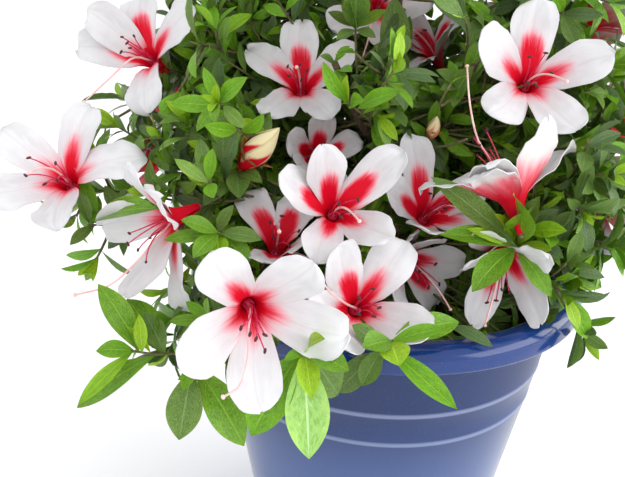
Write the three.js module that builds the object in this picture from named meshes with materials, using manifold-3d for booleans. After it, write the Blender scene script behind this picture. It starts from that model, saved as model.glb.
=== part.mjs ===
// An azalea bonsai in bloom, whole, in its round plastic pot.
// Millimetres, +Z up. The origin is the middle of the pot's flat underside, and the plant's front faces -Y.
// Places on the plant are given as [x, y, height over the pot's rim], and directions as degrees round
// from the front (+ to the right) and degrees of lift above the level.
import * as THREE from 'three';
import { mergeVertices } from 'three/addons/utils/BufferGeometryUtils.js';
import Module from 'manifold-3d';

const wasm = await Module();
wasm.setup();

// Pot: a tapering plastic pot with a deep collar and two fine ridges round its body
const potHeight = 165;
const rimRadius = 95;
const baseRadius = 58;
const potWall = 3;
const potFloor = 4;
const collarHeight = 10.5;
const collarOverhang = 9.5;
const lipWidth = 11;
const ridgeHeights = [110.5, 126.5];
const ridgeProud = 1.2;
const ridgeWidth = 2.6;
const potSides = 30;
const soilBelowRim = 22;

// Neighbouring pieces keep this gap, and a twig, leaf or petal keeps this clearance from other masses
const gap = 0.3;
const clearance = 0.5;
const finestEdge = 0.02;
const finestFace = 0.003;
const nudges = [[0, 0, 0], [0.07, 0, 0], [0, 0.07, 0], [0, 0, 0.07], [-0.07, 0.05, 0], [0, -0.07, 0.05]];

// Trunk: short, with a slight bend and a flared foot
const trunkFoot = 11;
const trunkTip = 5;
const flare = 8;
const flareHeight = 9;
const flareRoots = 5;
const trunkCourse = [[5, 12, -soilBelowRim], [-4, 10, -2], [3, 5, 30], [0, 6, 62]];

// Crown: a rounded block, flatter in front, that the tips of the shoots lie on
const crownCentre = [0, 5, 58];
const halfWidth = 136;
const depthInFront = 74;
const depthBehind = 112;
const riseAbove = 98;
const dropBelow = 62;
const crownSquareness = 2.4;

// Masses: a low ring, an upper ring and one on top, each fed by its own bough
const lowRing = ['front', 'front_right', 'right', 'back_right', 'back', 'back_left', 'left', 'front_left'];
const lowHeights = [26, 34];
const lowShare = 0.56;
const lowBoughStart = 3;
const lowBoughStep = 5;
const lowBoughOrder = [0, 3, 6, 1, 4, 7, 2, 5];
const upperRing = ['upper_front_right', 'upper_right', 'upper_back', 'upper_left', 'upper_front_left'];
const upperHeight = 92;
const upperShare = 0.5;
const upperBoughStart = 38;
const upperBoughStep = 3;
const topHeight = 119;

// Limbs
const boughRoot = 3.6;
const boughTip = 2;
const boughSides = 5;
const boughSteps = 4;
const stemLength = 26;
const stemPastHub = 8;
const stemRadius = 2;
const twigRoot = 1;
const twigTip = 0.8;
const twigDip = 5;
const twigSteps = 2;

// Leaves, petals and buds
const leafLengths = [20, 31];
const leafWidth = 0.42;
const leafThickness = 1;
const leafThickest = 0.34;
const leafSunk = 0.4;
const leafSpacing = 1.5;
const leafLean = [46, 78];
const leafSwing = 26;
const leafTries = 5;
const bloomLeaves = 4;
const petals = 5;
const petalReach = [27, 33];
const petalCup = 27;
const petalThickness = 1.2;
const petalEdge = [[0.56, 0.31], [0.86, 0.22]];
const valley = [0.36, 0.1];
const throatDepth = 3;
const tubeLength = 15;
const twigInTube = 4;
const budLength = 24;
const budWidth = 12;

// Shoots that the front of the plant shows, placed by hand
const bloom = (at, round, lift, turn, reach, home) => (
  { kind: 'bloom', at, round, lift, turn, reach, leaves: 5, home });
const leafy = (at, round, lift, leaves, home) => ({ kind: 'leafy', at, round, lift, leaves, home });
const bud = (at, round, lift) => ({ kind: 'bud', at, round, lift, leaves: 6 });
const placedShoots = [
  bloom([-55, -113, 24], 15, 8, 325, 33),
  bloom([-17, -86, 14], 14, 38, 336, 31, 'front_left'),
  bloom([-27, -65, 45], 8, 35, 349, 31),
  bloom([-50, -57, 27], 10, 55, 310, 28),
  bloom([-92, -70, 40], -62, -8, 50, 33),
  bloom([-136, -53, 51], -5, 45, 17, 33, 'front_left'),
  bloom([-112, -5, 95], -26, 30, 352, 33),
  bloom([-43, -8, 85], -4, 42, 357, 30),
  bloom([-35, -16, 55], 4, 25, 6, 23),
  bloom([-8, 38, 118], -2, 24, 230, 31, 'top'),
  bloom([23, 45, 98], -50, 50, 303, 27),
  bloom([51, -33, 93], -4, 31, 6, 33),
  bloom([40, -68, 54], -75, 58, 220, 33, 'front'),
  bloom([12, -47, 39], 6, 40, 355, 28, 'front'),
  bloom([6, -42, 16], 30, 5, 240, 26, 'front'),
  bloom([42, -60, 26], -18, -25, 194, 26, 'front'),
  bud([-65, -46, 57], 70, 25),
  leafy([-100, -102, 1], -85, -8, 7),
  leafy([-77, -107, -2], -25, -40, 5),
  leafy([-36, -116, 10], 8, -15, 8, 'front_left'),
  leafy([-6, -103, 9], 15, -5, 6, 'front_left'),
  leafy([44, -70, 34], 5, 15, 8, 'front'),
  leafy([-71, -76, 38], -10, 22, 8),
  leafy([-130, -49, 30], -60, 10, 7),
  leafy([-94, -82, 4], -70, -10, 6),
  leafy([76, -62, 62], 30, 15, 7),
  leafy([90, -56, 30], 45, -5, 6),
  leafy([66, -70, 14], 25, -15, 6),
  leafy([22, -62, 74], 5, 25, 6),
  bloom([36, 0, 143], 70, 62, 20, 31),
  bloom([-28, 20, 146], -110, 66, 60, 30),
  leafy([4, -8, 150], 10, 72, 6),
];

// Shoots that a spiral spreads over the rest of the crown
const spiralShoots = 68;
const spiralBottom = -0.5;
const goldenAngle = Math.PI * (3 - Math.sqrt(5));
const shootDepths = [0.8, 0.95];
const bloomSpacing = 43;
const shootSpacing = 19;
const frontEdge = -22;
const faceRoom = 24;
const faceDepth = 42;

const colours = {
  pot: 0x3a4f86,
  soil: 0x2e241b,
  bark: 0x6b5138,
  leaf: 0x3f7a22,
};

// A repeatable stream of numbers from 0 to 1
function randomStream(seed) {
  let state = (seed * 7919 + 12345) >>> 0;
  const next = () => {
    state = (Math.imul(state, 1664525) + 1013904223) >>> 0;
    return state / 4294967296;
  };
  next();
  next();
  return next;
}

const mix = (range, share) => range[0] + (range[1] - range[0]) * share;

function overRim([x, y, height]) {
  return new THREE.Vector3(x, y, potHeight + height);
}

function towards(round, lift) {
  const a = THREE.MathUtils.degToRad(round);
  const e = THREE.MathUtils.degToRad(lift);
  return new THREE.Vector3(Math.sin(a) * Math.cos(e), -Math.cos(a) * Math.cos(e), Math.sin(e));
}

// How far the crown reaches from its centre in a direction
function crownReach(direction) {
  const depth = direction.y < 0 ? depthInFront : depthBehind;
  const height = direction.z < 0 ? dropBelow : riseAbove;
  const sum = (Math.abs(direction.x) / halfWidth) ** crownSquareness
    + (Math.abs(direction.y) / depth) ** crownSquareness
    + (Math.abs(direction.z) / height) ** crownSquareness;
  return sum ** (-1 / crownSquareness);
}

// Closed shapes: positions and faces only, with shared points merged and the faces pointing out
function closed(geometry) {
  geometry.deleteAttribute('normal');
  geometry.deleteAttribute('uv');
  const merged = mergeVertices(geometry, 1e-4);
  const p = merged.attributes.position;
  const faces = [];
  let volume = 0;
  const [a, b, c] = [new THREE.Vector3(), new THREE.Vector3(), new THREE.Vector3()];
  for (let i = 0; i < merged.index.count; i += 3) {
    const corner = [0, 1, 2].map((k) => merged.index.getX(i + k));
    if (corner[0] === corner[1] || corner[1] === corner[2] || corner[2] === corner[0]) continue;
    a.fromBufferAttribute(p, corner[0]);
    b.fromBufferAttribute(p, corner[1]);
    c.fromBufferAttribute(p, corner[2]);
    volume += a.dot(b.cross(c));
    faces.push(corner);
  }
  merged.setIndex((volume < 0 ? faces.map((f) => f.reverse()) : faces).flat());
  return merged;
}

function toSolid(geometry) {
  return new wasm.Manifold(new wasm.Mesh({
    numProp: 3,
    vertProperties: new Float32Array(geometry.attributes.position.array),
    triVerts: new Uint32Array(geometry.index.array),
  }));
}

function toGeometry(solid) {
  const mesh = solid.getMesh();
  const geometry = new THREE.BufferGeometry();
  geometry.setAttribute('position', new THREE.BufferAttribute(mesh.vertProperties, 3));
  geometry.setIndex(new THREE.BufferAttribute(mesh.triVerts, 1));
  return geometry;
}

// A tapering limb: a cylinder bent along a curve, its radius a function of how far along and how far round
function limb(curve, radiusAt, sides, steps) {
  const geometry = new THREE.CylinderGeometry(1, 1, 1, sides, steps);
  const frames = curve.computeFrenetFrames(steps);
  const p = geometry.attributes.position;
  const v = new THREE.Vector3();
  for (let i = 0; i < p.count; i += 1) {
    const step = Math.round((p.getY(i) + 0.5) * steps);
    const [across, along] = [p.getX(i), p.getZ(i)];
    const radius = radiusAt(step / steps, Math.atan2(along, across));
    v.copy(curve.getPointAt(step / steps));
    v.addScaledVector(frames.normals[step], across * radius);
    v.addScaledVector(frames.binormals[step], along * radius);
    p.setXYZ(i, v.x, v.y, v.z);
  }
  return closed(geometry);
}

// Points joined into a closed shape by its faces
function shell(points, faces) {
  const geometry = new THREE.BufferGeometry().setFromPoints(points);
  geometry.setIndex(faces.flat());
  return closed(geometry);
}

// A leaf or bud: an eight-faced blade, its sides and its thickest part at two places along it
function blade({ root, forward, up, length, width, thickness, widest, thickest }, extra = 0) {
  const side = new THREE.Vector3().crossVectors(forward, up).normalize();
  const normal = new THREE.Vector3().crossVectors(side, forward);
  const full = length + 2 * extra;
  const place = (along, across, lift) => root.clone()
    .addScaledVector(forward, along * full - extra)
    .addScaledVector(side, across)
    .addScaledVector(normal, lift);
  const half = [width / 2 + extra, thickness / 2 + extra];
  const points = [
    place(0, 0, 0),
    place(widest, half[0], 0),
    place(1, 0, 0),
    place(widest, -half[0], 0),
    place(thickest, 0, half[1]),
    place(thickest, 0, -half[1]),
  ];
  const ring = [0, 1, 2, 3];
  return shell(points, ring.flatMap((i) => [[4, i, (i + 1) % 4], [5, (i + 1) % 4, i]]));
}

// Whether the edges of one closed shape pass through the faces of another
function edgesCross(shape, other) {
  const [p, q] = [shape.attributes.position, other.attributes.position];
  const ray = new THREE.Ray();
  const [a, b, hit] = [new THREE.Vector3(), new THREE.Vector3(), new THREE.Vector3()];
  const corner = [new THREE.Vector3(), new THREE.Vector3(), new THREE.Vector3()];
  for (let i = 0; i < shape.index.count; i += 1) {
    const follow = i % 3 === 2 ? i - 2 : i + 1;
    const [from, to] = [shape.index.getX(i), shape.index.getX(follow)];
    if (from > to) continue;
    a.fromBufferAttribute(p, from);
    b.fromBufferAttribute(p, to);
    const span = a.distanceTo(b);
    ray.set(a, b.clone().sub(a).divideScalar(span));
    for (let j = 0; j < other.index.count; j += 3) {
      corner.forEach((v, k) => v.fromBufferAttribute(q, other.index.getX(j + k)));
      if (ray.intersectTriangle(...corner, false, hit) && a.distanceTo(hit) <= span) return true;
    }
  }
  return false;
}

// Everything placed so far, so that a new piece can be tested against it
const placedPieces = [];

function keep(mass, shape, shoot = null) {
  shape.computeBoundingBox();
  placedPieces.push({ mass, shape, shoot, twig: shoot !== null && !placedPieces.some((p) => p.shoot === shoot) });
}

function meets(shape, among) {
  shape.computeBoundingBox();
  return placedPieces.some((piece) => among(piece)
    && piece.shape.boundingBox.intersectsBox(shape.boundingBox)
    && (edgesCross(shape, piece.shape) || edgesCross(piece.shape, shape)));
}

// The pot and its soil
function bodyRadius(height) {
  const top = rimRadius - collarOverhang;
  return baseRadius + (top - baseRadius) * (height / (potHeight - collarHeight));
}

function ridgeProfile(height) {
  const [outer, inner] = [ridgeWidth / 2, ridgeWidth / 4];
  return [
    [bodyRadius(height - outer), height - outer],
    [bodyRadius(height - inner) + ridgeProud, height - inner],
    [bodyRadius(height + inner) + ridgeProud, height + inner],
    [bodyRadius(height + outer), height + outer],
  ];
}

function pot() {
  const foot = 2;
  const under = potHeight - collarHeight;
  const profile = [
    [0, 0],
    [baseRadius - foot, 0],
    [bodyRadius(foot), foot],
    ...ridgeHeights.flatMap(ridgeProfile),
    [bodyRadius(under), under],
    [rimRadius - 1, under],
    [rimRadius, under + 1],
    [rimRadius, potHeight - 2.5],
    [rimRadius - 1, potHeight - 0.8],
    [rimRadius - 3, potHeight],
    [rimRadius - lipWidth, potHeight - 2],
    [bodyRadius(under) - potWall, potHeight - 6],
    [bodyRadius(under) - potWall, under],
    [bodyRadius(potFloor) - potWall, potFloor],
    [0, potFloor],
  ];
  return closed(new THREE.LatheGeometry(profile.map(([r, z]) => new THREE.Vector2(r, z)), potSides)
    .rotateX(Math.PI / 2));
}

const soilTop = potHeight - soilBelowRim;

function soil() {
  const inner = (height) => bodyRadius(height) - potWall - gap - 0.2;
  const profile = [
    [0, potFloor + gap],
    [inner(potFloor + gap), potFloor + gap],
    [inner(soilTop), soilTop],
    [0, soilTop],
  ];
  return closed(new THREE.LatheGeometry(profile.map(([r, z]) => new THREE.Vector2(r, z)), potSides)
    .rotateX(Math.PI / 2));
}

// Whether a shape stays over the soil and off the pot
function clearOfPot(shape) {
  const p = shape.attributes.position;
  for (let i = 0; i < p.count; i += 1) {
    const out = Math.hypot(p.getX(i), p.getY(i));
    const z = p.getZ(i);
    const overWall = out > rimRadius - lipWidth - 3 && out < rimRadius + 2;
    if (z < soilTop + 3 && out < rimRadius) return false;
    if (z < potHeight + 2 && overWall) return false;
  }
  return true;
}

// Trunk and boughs
const trunkCurve = new THREE.CatmullRomCurve3(trunkCourse.map(overRim));

function trunkShape(extra) {
  const length = trunkCurve.getLength();
  const radius = (t, angle) => {
    const lobes = 1 + 0.3 * Math.cos(flareRoots * angle);
    const spread = flare * Math.exp((-t * length) / flareHeight) * lobes;
    return trunkTip + (trunkFoot - trunkTip) * (1 - t) ** 0.8 + spread + extra;
  };
  const shape = limb(trunkCurve, radius, 2 * flareRoots, 8);
  const p = shape.attributes.position;
  const ground = soilTop + gap;
  for (let i = 0; i < p.count; i += 1) {
    if (p.getZ(i) < ground + 2) p.setZ(i, ground);
  }
  return shape;
}

function crownPoint(round, height, share) {
  const centre = overRim(crownCentre);
  const level = towards(round, 0);
  const out = crownReach(level) * share;
  return new THREE.Vector3(centre.x + level.x * out, centre.y + level.y * out, potHeight + height);
}

function hubs() {
  const low = lowRing.map((name, i) => ({
    name,
    hub: crownPoint((360 / lowRing.length) * i, lowHeights[i % 2], lowShare),
    leaves: lowBoughStart + lowBoughStep * lowBoughOrder[i],
  }));
  const upper = upperRing.map((name, i) => ({
    name,
    hub: crownPoint((360 / upperRing.length) * (i + 0.5), upperHeight, upperShare),
    leaves: upperBoughStart + upperBoughStep * i,
  }));
  const [x, y] = crownCentre;
  return [...low, ...upper, { name: 'top', hub: overRim([x, y, topHeight]), leaves: null }];
}

// The point of the trunk's middle line at a height over the rim
function trunkAt(height) {
  const points = trunkCurve.getSpacedPoints(60);
  return points.reduce((best, p) => (
    Math.abs(p.z - potHeight - height) < Math.abs(best.z - potHeight - height) ? p : best));
}

function boughCurve({ hub, leaves }) {
  const start = leaves === null ? trunkCurve.getPointAt(1).add(new THREE.Vector3(0, 0, gap)) : trunkAt(leaves);
  const across = hub.clone().sub(start);
  const bend = start.clone().addScaledVector(across, 0.5);
  bend.z -= 0.18 * Math.hypot(across.x, across.y);
  const back = stemPastHub - stemLength;
  const end = hub.clone().addScaledVector(hub.clone().sub(bend).normalize(), back);
  return new THREE.QuadraticBezierCurve3(start, bend, end);
}

function boughRadius(extra) {
  return (t) => boughRoot + (boughTip - boughRoot) * t + extra;
}

function straight(from, to) {
  return new THREE.LineCurve3(from, to);
}

// A mass is fed by a stem that goes on from its bough's tip
function stemOf(mass) {
  const tip = mass.bough.getPointAt(1);
  const along = mass.bough.getTangentAt(1);
  return straight(tip.clone().addScaledVector(along, gap), tip.clone().addScaledVector(along, stemLength));
}

// The shoots of the spiral: blooms where there is room for them, leaves between them
function inFaceOf(point, shoot) {
  if (shoot.kind !== 'bloom') return false;
  const away = point.clone().sub(shoot.centre);
  const ahead = away.dot(shoot.facing);
  if (ahead < 0 || ahead > faceDepth) return false;
  return away.addScaledVector(shoot.facing, -ahead).length() < faceRoom;
}

function settled(shoot, index) {
  const centre = shoot.centre ?? overRim(shoot.at);
  const facing = shoot.facing ?? towards(shoot.round, shoot.lift);
  const back = shoot.kind === 'bloom' ? twigInTube - tubeLength : 0;
  const foot = centre.clone().addScaledVector(facing, back);
  return { ...shoot, index, centre, facing, foot };
}

function spiralShoot(i, taken) {
  const random = randomStream(100 + i);
  const height = 1 - ((i + 0.5) / spiralShoots) * (1 - spiralBottom);
  const level = Math.sqrt(1 - height * height);
  const direction = new THREE.Vector3(
    level * Math.cos(i * goldenAngle),
    level * Math.sin(i * goldenAngle),
    height,
  );
  const reach = crownReach(direction) * mix(shootDepths, random());
  const centre = overRim(crownCentre).addScaledVector(direction, reach);
  const sway = new THREE.Vector3(random() - 0.5, random() - 0.5, random() - 0.2).multiplyScalar(0.7);
  const facing = direction.clone().add(sway).normalize();
  const turn = random() * 360;
  const petalLength = mix(petalReach, random());
  const inFront = centre.y < frontEdge && direction.z < 0.75;
  const nearest = (kind) => Math.min(...taken
    .filter((s) => kind === null || s.kind === kind)
    .map((s) => s.centre.distanceTo(centre)));
  if (taken.some((s) => inFaceOf(centre, s))) return null;
  const roomy = !inFront && nearest('bloom') > bloomSpacing && nearest(null) > shootSpacing;
  if (roomy) return { kind: 'bloom', centre, facing, turn, reach: petalLength, leaves: 5 };
  if (nearest(null) < shootSpacing) return null;
  return { kind: random() < 0.12 ? 'bud' : 'leafy', centre, facing, leaves: 6 };
}

function allShoots() {
  const shoots = placedShoots.map(settled);
  for (let i = 0; i < spiralShoots; i += 1) {
    const shoot = spiralShoot(i, shoots);
    if (shoot) shoots.push(settled(shoot, shoots.length));
  }
  return shoots;
}

function homeOf({ home, foot: point }, masses) {
  if (home) return masses.find((mass) => mass.name === home);
  return masses.reduce((best, mass) => (
    mass.hub.distanceTo(point) < best.hub.distanceTo(point) ? mass : best));
}

// A twig leaves the stem and turns into the way its shoot faces
function twigCurve(shoot, mass) {
  const start = mass.stem.getPoint(0.2 + 0.75 * randomStream(500 + shoot.index)());
  const bend = shoot.foot.clone().addScaledVector(shoot.facing, -0.4 * shoot.foot.distanceTo(start));
  bend.z = Math.max(bend.z, shoot.foot.z - twigDip);
  return new THREE.QuadraticBezierCurve3(start, bend, shoot.foot);
}

function twigShape(curve, extra = 0) {
  return limb(curve, (t) => twigRoot + (twigTip - twigRoot) * t + extra, 3, twigSteps);
}

// A place on a twig's middle line, with the way the twig runs there and the way out of one of its three sides
function onTwig(curve, t, face, swing) {
  const frames = curve.computeFrenetFrames(twigSteps);
  const step = Math.min(Math.floor(t * twigSteps), twigSteps - 1);
  const [from, to] = [curve.getPointAt(step / twigSteps), curve.getPointAt((step + 1) / twigSteps)];
  const angle = THREE.MathUtils.degToRad(60 + 120 * face + swing);
  const out = frames.normals[step].clone().add(frames.normals[step + 1]).multiplyScalar(Math.sin(angle))
    .addScaledVector(frames.binormals[step].clone().add(frames.binormals[step + 1]), Math.cos(angle));
  return {
    point: from.clone().lerp(to, t * twigSteps - step),
    axis: to.clone().sub(from).normalize(),
    out: out.normalize(),
  };
}

function crossFrame(axis) {
  const side = new THREE.Vector3(0, 0, 1).cross(axis);
  if (side.length() < 1e-3) side.set(1, 0, 0);
  side.normalize();
  return { side, top: axis.clone().cross(side) };
}

function radial(axis, degrees) {
  const { side, top } = crossFrame(axis);
  const a = THREE.MathUtils.degToRad(degrees);
  return top.multiplyScalar(Math.cos(a)).addScaledVector(side, Math.sin(a));
}

// A bloom is one funnel: petals that part at the valleys, with the throat in front and the tube behind
function bloomShape({ centre, facing, turn, reach }, extra = 0) {
  const cup = THREE.MathUtils.degToRad(petalCup);
  const long = reach + extra;
  const points = [
    centre.clone().addScaledVector(facing, extra - throatDepth),
    centre.clone().addScaledVector(facing, -tubeLength - extra),
  ];
  const faces = [];
  for (let k = 0; k < petals; k += 1) {
    const angle = turn + (360 / petals) * k;
    const out = radial(facing, angle);
    const side = facing.clone().cross(out);
    const along = out.clone().multiplyScalar(Math.cos(cup)).addScaledVector(facing, Math.sin(cup));
    const normal = along.clone().cross(side).negate();
    const edge = (share, across) => centre.clone()
      .addScaledVector(along, share * long)
      .addScaledVector(side, across * reach + Math.sign(across) * extra);
    const [[near, wide], [far, narrow]] = petalEdge;
    const notch = centre.clone()
      .addScaledVector(radial(facing, angle - 180 / petals), valley[0] * reach + extra)
      .addScaledVector(facing, valley[1] * reach);
    const middle = edge(near, 0);
    const thick = petalThickness / 2 + extra;
    const first = points.length;
    points.push(
      notch,
      edge(near, -wide),
      edge(far, -narrow),
      edge(1, 0),
      edge(far, narrow),
      edge(near, wide),
      middle.clone().addScaledVector(normal, thick),
      middle.clone().addScaledVector(normal, -thick),
    );
    const next = 2 + ((first - 2 + 8) % (8 * petals));
    const rim = [first, first + 1, first + 2, first + 3, first + 4, first + 5, next];
    const [front, rear] = [first + 6, first + 7];
    rim.slice(1).forEach((point, i) => faces.push([front, rim[i], point], [rear, point, rim[i]]));
    faces.push([0, first, front], [0, front, next], [1, rear, first], [1, next, rear]);
  }
  return shell(points, faces);
}

// The leaves of a shoot stand in a loose whorl round its end, and one or two lower on its twig
function leafOf(shoot, k, attempt) {
  const random = randomStream(1000 + 157 * shoot.index + 7 * k + attempt);
  const whorl = shoot.kind === 'bloom' ? bloomLeaves : shoot.leaves - 1;
  const low = k >= whorl;
  const setBack = (shoot.kind === 'bloom' ? twigInTube + 3 : 1) + leafSpacing * k;
  const t = low ? 0.62 + 0.2 * random() : Math.max(0.55, 1 - setBack / shoot.curve.getLength());
  const swing = (random() * 2 - 1) * leafSwing;
  const { point, axis, out } = onTwig(shoot.curve, t, k + attempt, swing);
  const lean = THREE.MathUtils.degToRad(low ? 55 : mix(leafLean, random()));
  const forward = axis.clone().multiplyScalar(Math.cos(lean)).addScaledVector(out, Math.sin(lean));
  const length = mix(leafLengths, random());
  return {
    root: point.addScaledVector(forward, -leafSunk),
    forward,
    up: axis,
    length,
    width: length * leafWidth,
    thickness: leafThickness,
    widest: 0.5,
    thickest: leafThickest,
  };
}

function budOf({ foot, facing }) {
  return {
    root: foot.clone().addScaledVector(facing, -2),
    forward: facing,
    up: crossFrame(facing).top,
    length: budLength,
    width: budWidth,
    thickness: budWidth,
    widest: 0.6,
    thickest: 0.6,
  };
}

// Adds a piece to its mass, unless it would touch a limb, the pot or another mass
function grow(shoot, shape, guard) {
  const { name, pieces } = shoot.mass;
  if (!clearOfPot(guard) || meets(guard, (piece) => piece.mass !== name)) return false;
  keep(name, shape, shoot);
  pieces.push(shape);
  return true;
}

function growTwigs(shoots, masses) {
  shoots.forEach((shoot) => {
    shoot.mass = homeOf(shoot, masses);
    shoot.curve = twigCurve(shoot, shoot.mass);
    shoot.grown = grow(shoot, twigShape(shoot.curve), twigShape(shoot.curve, clearance));
  });
}

// A shoot without room for its bloom gets leaves instead
function growBlooms(shoots) {
  shoots.filter((s) => s.grown && s.kind === 'bloom').forEach((shoot) => {
    if (!grow(shoot, bloomShape(shoot), bloomShape(shoot, clearance))) shoot.kind = 'leafy';
  });
  shoots.filter((s) => s.grown && s.kind === 'bud').forEach((shoot) => {
    grow(shoot, blade(budOf(shoot)), blade(budOf(shoot), clearance));
  });
}

// A leaf that would cover a bloom's face or cross another piece is turned, and left out if that doesn't help
function growLeaf(shoot, k, blooms) {
  for (let attempt = 0; attempt < leafTries; attempt += 1) {
    const leaf = leafOf(shoot, k, attempt);
    const shape = blade(leaf);
    const tip = leaf.root.clone().addScaledVector(leaf.forward, leaf.length);
    const own = (piece) => piece.mass === shoot.mass.name && !(piece.shoot === shoot && piece.twig);
    const covers = blooms.some((bloomed) => inFaceOf(tip, bloomed));
    if (!covers && !meets(shape, own) && grow(shoot, shape, blade(leaf, clearance))) return;
  }
}

function growLeaves(shoots) {
  const most = Math.max(...shoots.map((s) => s.leaves));
  const blooms = shoots.filter((s) => s.kind === 'bloom');
  for (let k = 0; k < most; k += 1) {
    shoots.filter((s) => s.grown && k < s.leaves).forEach((shoot) => growLeaf(shoot, k, blooms));
  }
}

// Whether a solid is in one piece, with no edge or face too fine to build
function isSound(solid) {
  const { vertProperties: v, triVerts: t } = solid.getMesh();
  const [a, b, c] = [new THREE.Vector3(), new THREE.Vector3(), new THREE.Vector3()];
  for (let i = 0; i < t.length; i += 3) {
    a.fromArray(v, 3 * t[i]);
    b.fromArray(v, 3 * t[i + 1]).sub(a);
    c.fromArray(v, 3 * t[i + 2]).sub(a);
    const spans = [b.length(), c.length(), b.distanceTo(c)];
    const height = b.cross(c).length() / Math.max(...spans);
    if (Math.min(...spans) < finestEdge || height < finestFace) return false;
  }
  return solid.decompose().length === 1;
}

// One closed solid from a mass's pieces: each is nudged until it joins soundly, or else left out
function fused(pieces) {
  return pieces.slice(1).reduce((whole, piece) => {
    const joins = nudges.map((nudge) => () => whole.add(toSolid(piece.clone().translate(...nudge))));
    for (const join of joins) {
      const next = join();
      if (isSound(next)) return next;
    }
    return whole;
  }, toSolid(pieces[0]));
}

function mesh(name, geometry, colour, roughness) {
  const piece = new THREE.Mesh(geometry, new THREE.MeshStandardMaterial({ color: colour, roughness, metalness: 0 }));
  piece.name = name;
  return piece;
}

function plant() {
  const model = new THREE.Group();
  const trunk = trunkShape(0);
  const trunkRoom = toSolid(trunkShape(gap));
  keep('trunk', trunk);
  model.add(mesh('trunk', trunk, colours.bark, 0.9));

  const masses = hubs().map((mass) => ({ ...mass, bough: boughCurve(mass), pieces: [] }));
  masses.forEach((mass) => {
    const whole = toSolid(limb(mass.bough, boughRadius(0), boughSides, boughSteps));
    const bough = toGeometry(whole.subtract(trunkRoom));
    keep('bough', bough);
    model.add(mesh(`bough_${mass.name}`, bough, colours.bark, 0.9));
  });
  masses.forEach((mass) => {
    mass.stem = stemOf(mass);
    const stem = limb(mass.stem, () => stemRadius, 5, 1);
    keep(mass.name, stem);
    mass.pieces.push(stem);
  });

  const shoots = allShoots();
  const count = placedShoots.length;
  [shoots.slice(0, count), shoots.slice(count)].forEach((batch) => {
    growTwigs(batch, masses);
    growBlooms(batch);
  });
  growLeaves(shoots);
  masses.forEach((mass) => {
    model.add(mesh(`foliage_${mass.name}`, toGeometry(fused(mass.pieces)), colours.leaf, 0.6));
  });
  return model;
}

const group = new THREE.Group();
group.add(mesh('pot', pot(), colours.pot, 0.45));
group.add(mesh('soil', soil(), colours.soil, 1));
group.add(plant());

export default group;
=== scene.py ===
"""The looks of a potted azalea bonsai in bloom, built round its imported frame.

Lengths are in millimetres until a mesh is made, but the surroundings' are in metres. The origin is the
middle of the pot's flat underside, +Z is up and the plant's front faces -Y. Places on the plant are
[x, y, height over the pot's rim], and directions are degrees round from the front (+ to the right) and
degrees of lift above the level.
"""

import math

import bpy
import numpy as np
from mathutils import Matrix, Vector, noise


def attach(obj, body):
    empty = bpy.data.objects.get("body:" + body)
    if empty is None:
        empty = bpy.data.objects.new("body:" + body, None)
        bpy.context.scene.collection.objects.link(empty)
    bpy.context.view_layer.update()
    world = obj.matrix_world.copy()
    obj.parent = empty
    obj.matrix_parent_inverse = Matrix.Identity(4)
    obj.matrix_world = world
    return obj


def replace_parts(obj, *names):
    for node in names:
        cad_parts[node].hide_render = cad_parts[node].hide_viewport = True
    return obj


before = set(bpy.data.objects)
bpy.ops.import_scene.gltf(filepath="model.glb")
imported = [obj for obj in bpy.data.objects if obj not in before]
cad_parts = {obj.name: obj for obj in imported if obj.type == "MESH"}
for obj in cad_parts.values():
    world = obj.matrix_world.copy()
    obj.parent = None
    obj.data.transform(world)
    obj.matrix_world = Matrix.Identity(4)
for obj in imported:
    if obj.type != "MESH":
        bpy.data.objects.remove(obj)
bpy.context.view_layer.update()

MM = 0.001

# Pot and soil, as in the frame
POT_HEIGHT = 165
RIM_RADIUS = 95
BASE_RADIUS = 58
POT_WALL = 3
POT_FLOOR = 4
COLLAR_HEIGHT = 10.5
COLLAR_FOOT = POT_HEIGHT - COLLAR_HEIGHT
COLLAR_OVERHANG = 9.5
LIP_WIDTH = 11
RIDGE_HEIGHTS = (110.5, 126.5)
RIDGE_PROUD = 0.4
RIDGE_WIDTH = 2.6
POT_SIDES = 180
SOIL_BELOW_RIM = 22
SOIL_TOP = POT_HEIGHT - SOIL_BELOW_RIM

# Trunk, crown, boughs, stems and twigs, as in the frame
GAP = 0.3
TRUNK_FOOT = 11
TRUNK_TIP = 5
FLARE = 8
FLARE_HEIGHT = 9
FLARE_ROOTS = 5
TRUNK_COURSE = ((5, 12, -SOIL_BELOW_RIM), (-4, 10, -2), (3, 5, 30), (0, 6, 62))
CROWN_CENTRE = (0, 5, 58)
HALF_WIDTH = 136
DEPTH_IN_FRONT = 74
DEPTH_BEHIND = 112
RISE_ABOVE = 98
DROP_BELOW = 62
CROWN_SQUARENESS = 2.4
LOW_RING = ("front", "front_right", "right", "back_right", "back", "back_left", "left", "front_left")
LOW_HEIGHTS = (26, 34)
LOW_SHARE = 0.56
LOW_BOUGH_START = 3
LOW_BOUGH_STEP = 5
LOW_BOUGH_ORDER = (0, 3, 6, 1, 4, 7, 2, 5)
UPPER_RING = ("upper_front_right", "upper_right", "upper_back", "upper_left", "upper_front_left")
UPPER_HEIGHT = 92
UPPER_SHARE = 0.5
UPPER_BOUGH_START = 38
UPPER_BOUGH_STEP = 3
TOP_HEIGHT = 119
BOUGH_ROOT = 3.6
BOUGH_TIP = 2
STEM_LENGTH = 26
STEM_PAST_HUB = 8
STEM_RADIUS = 2
TWIG_DIP = 5

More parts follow.
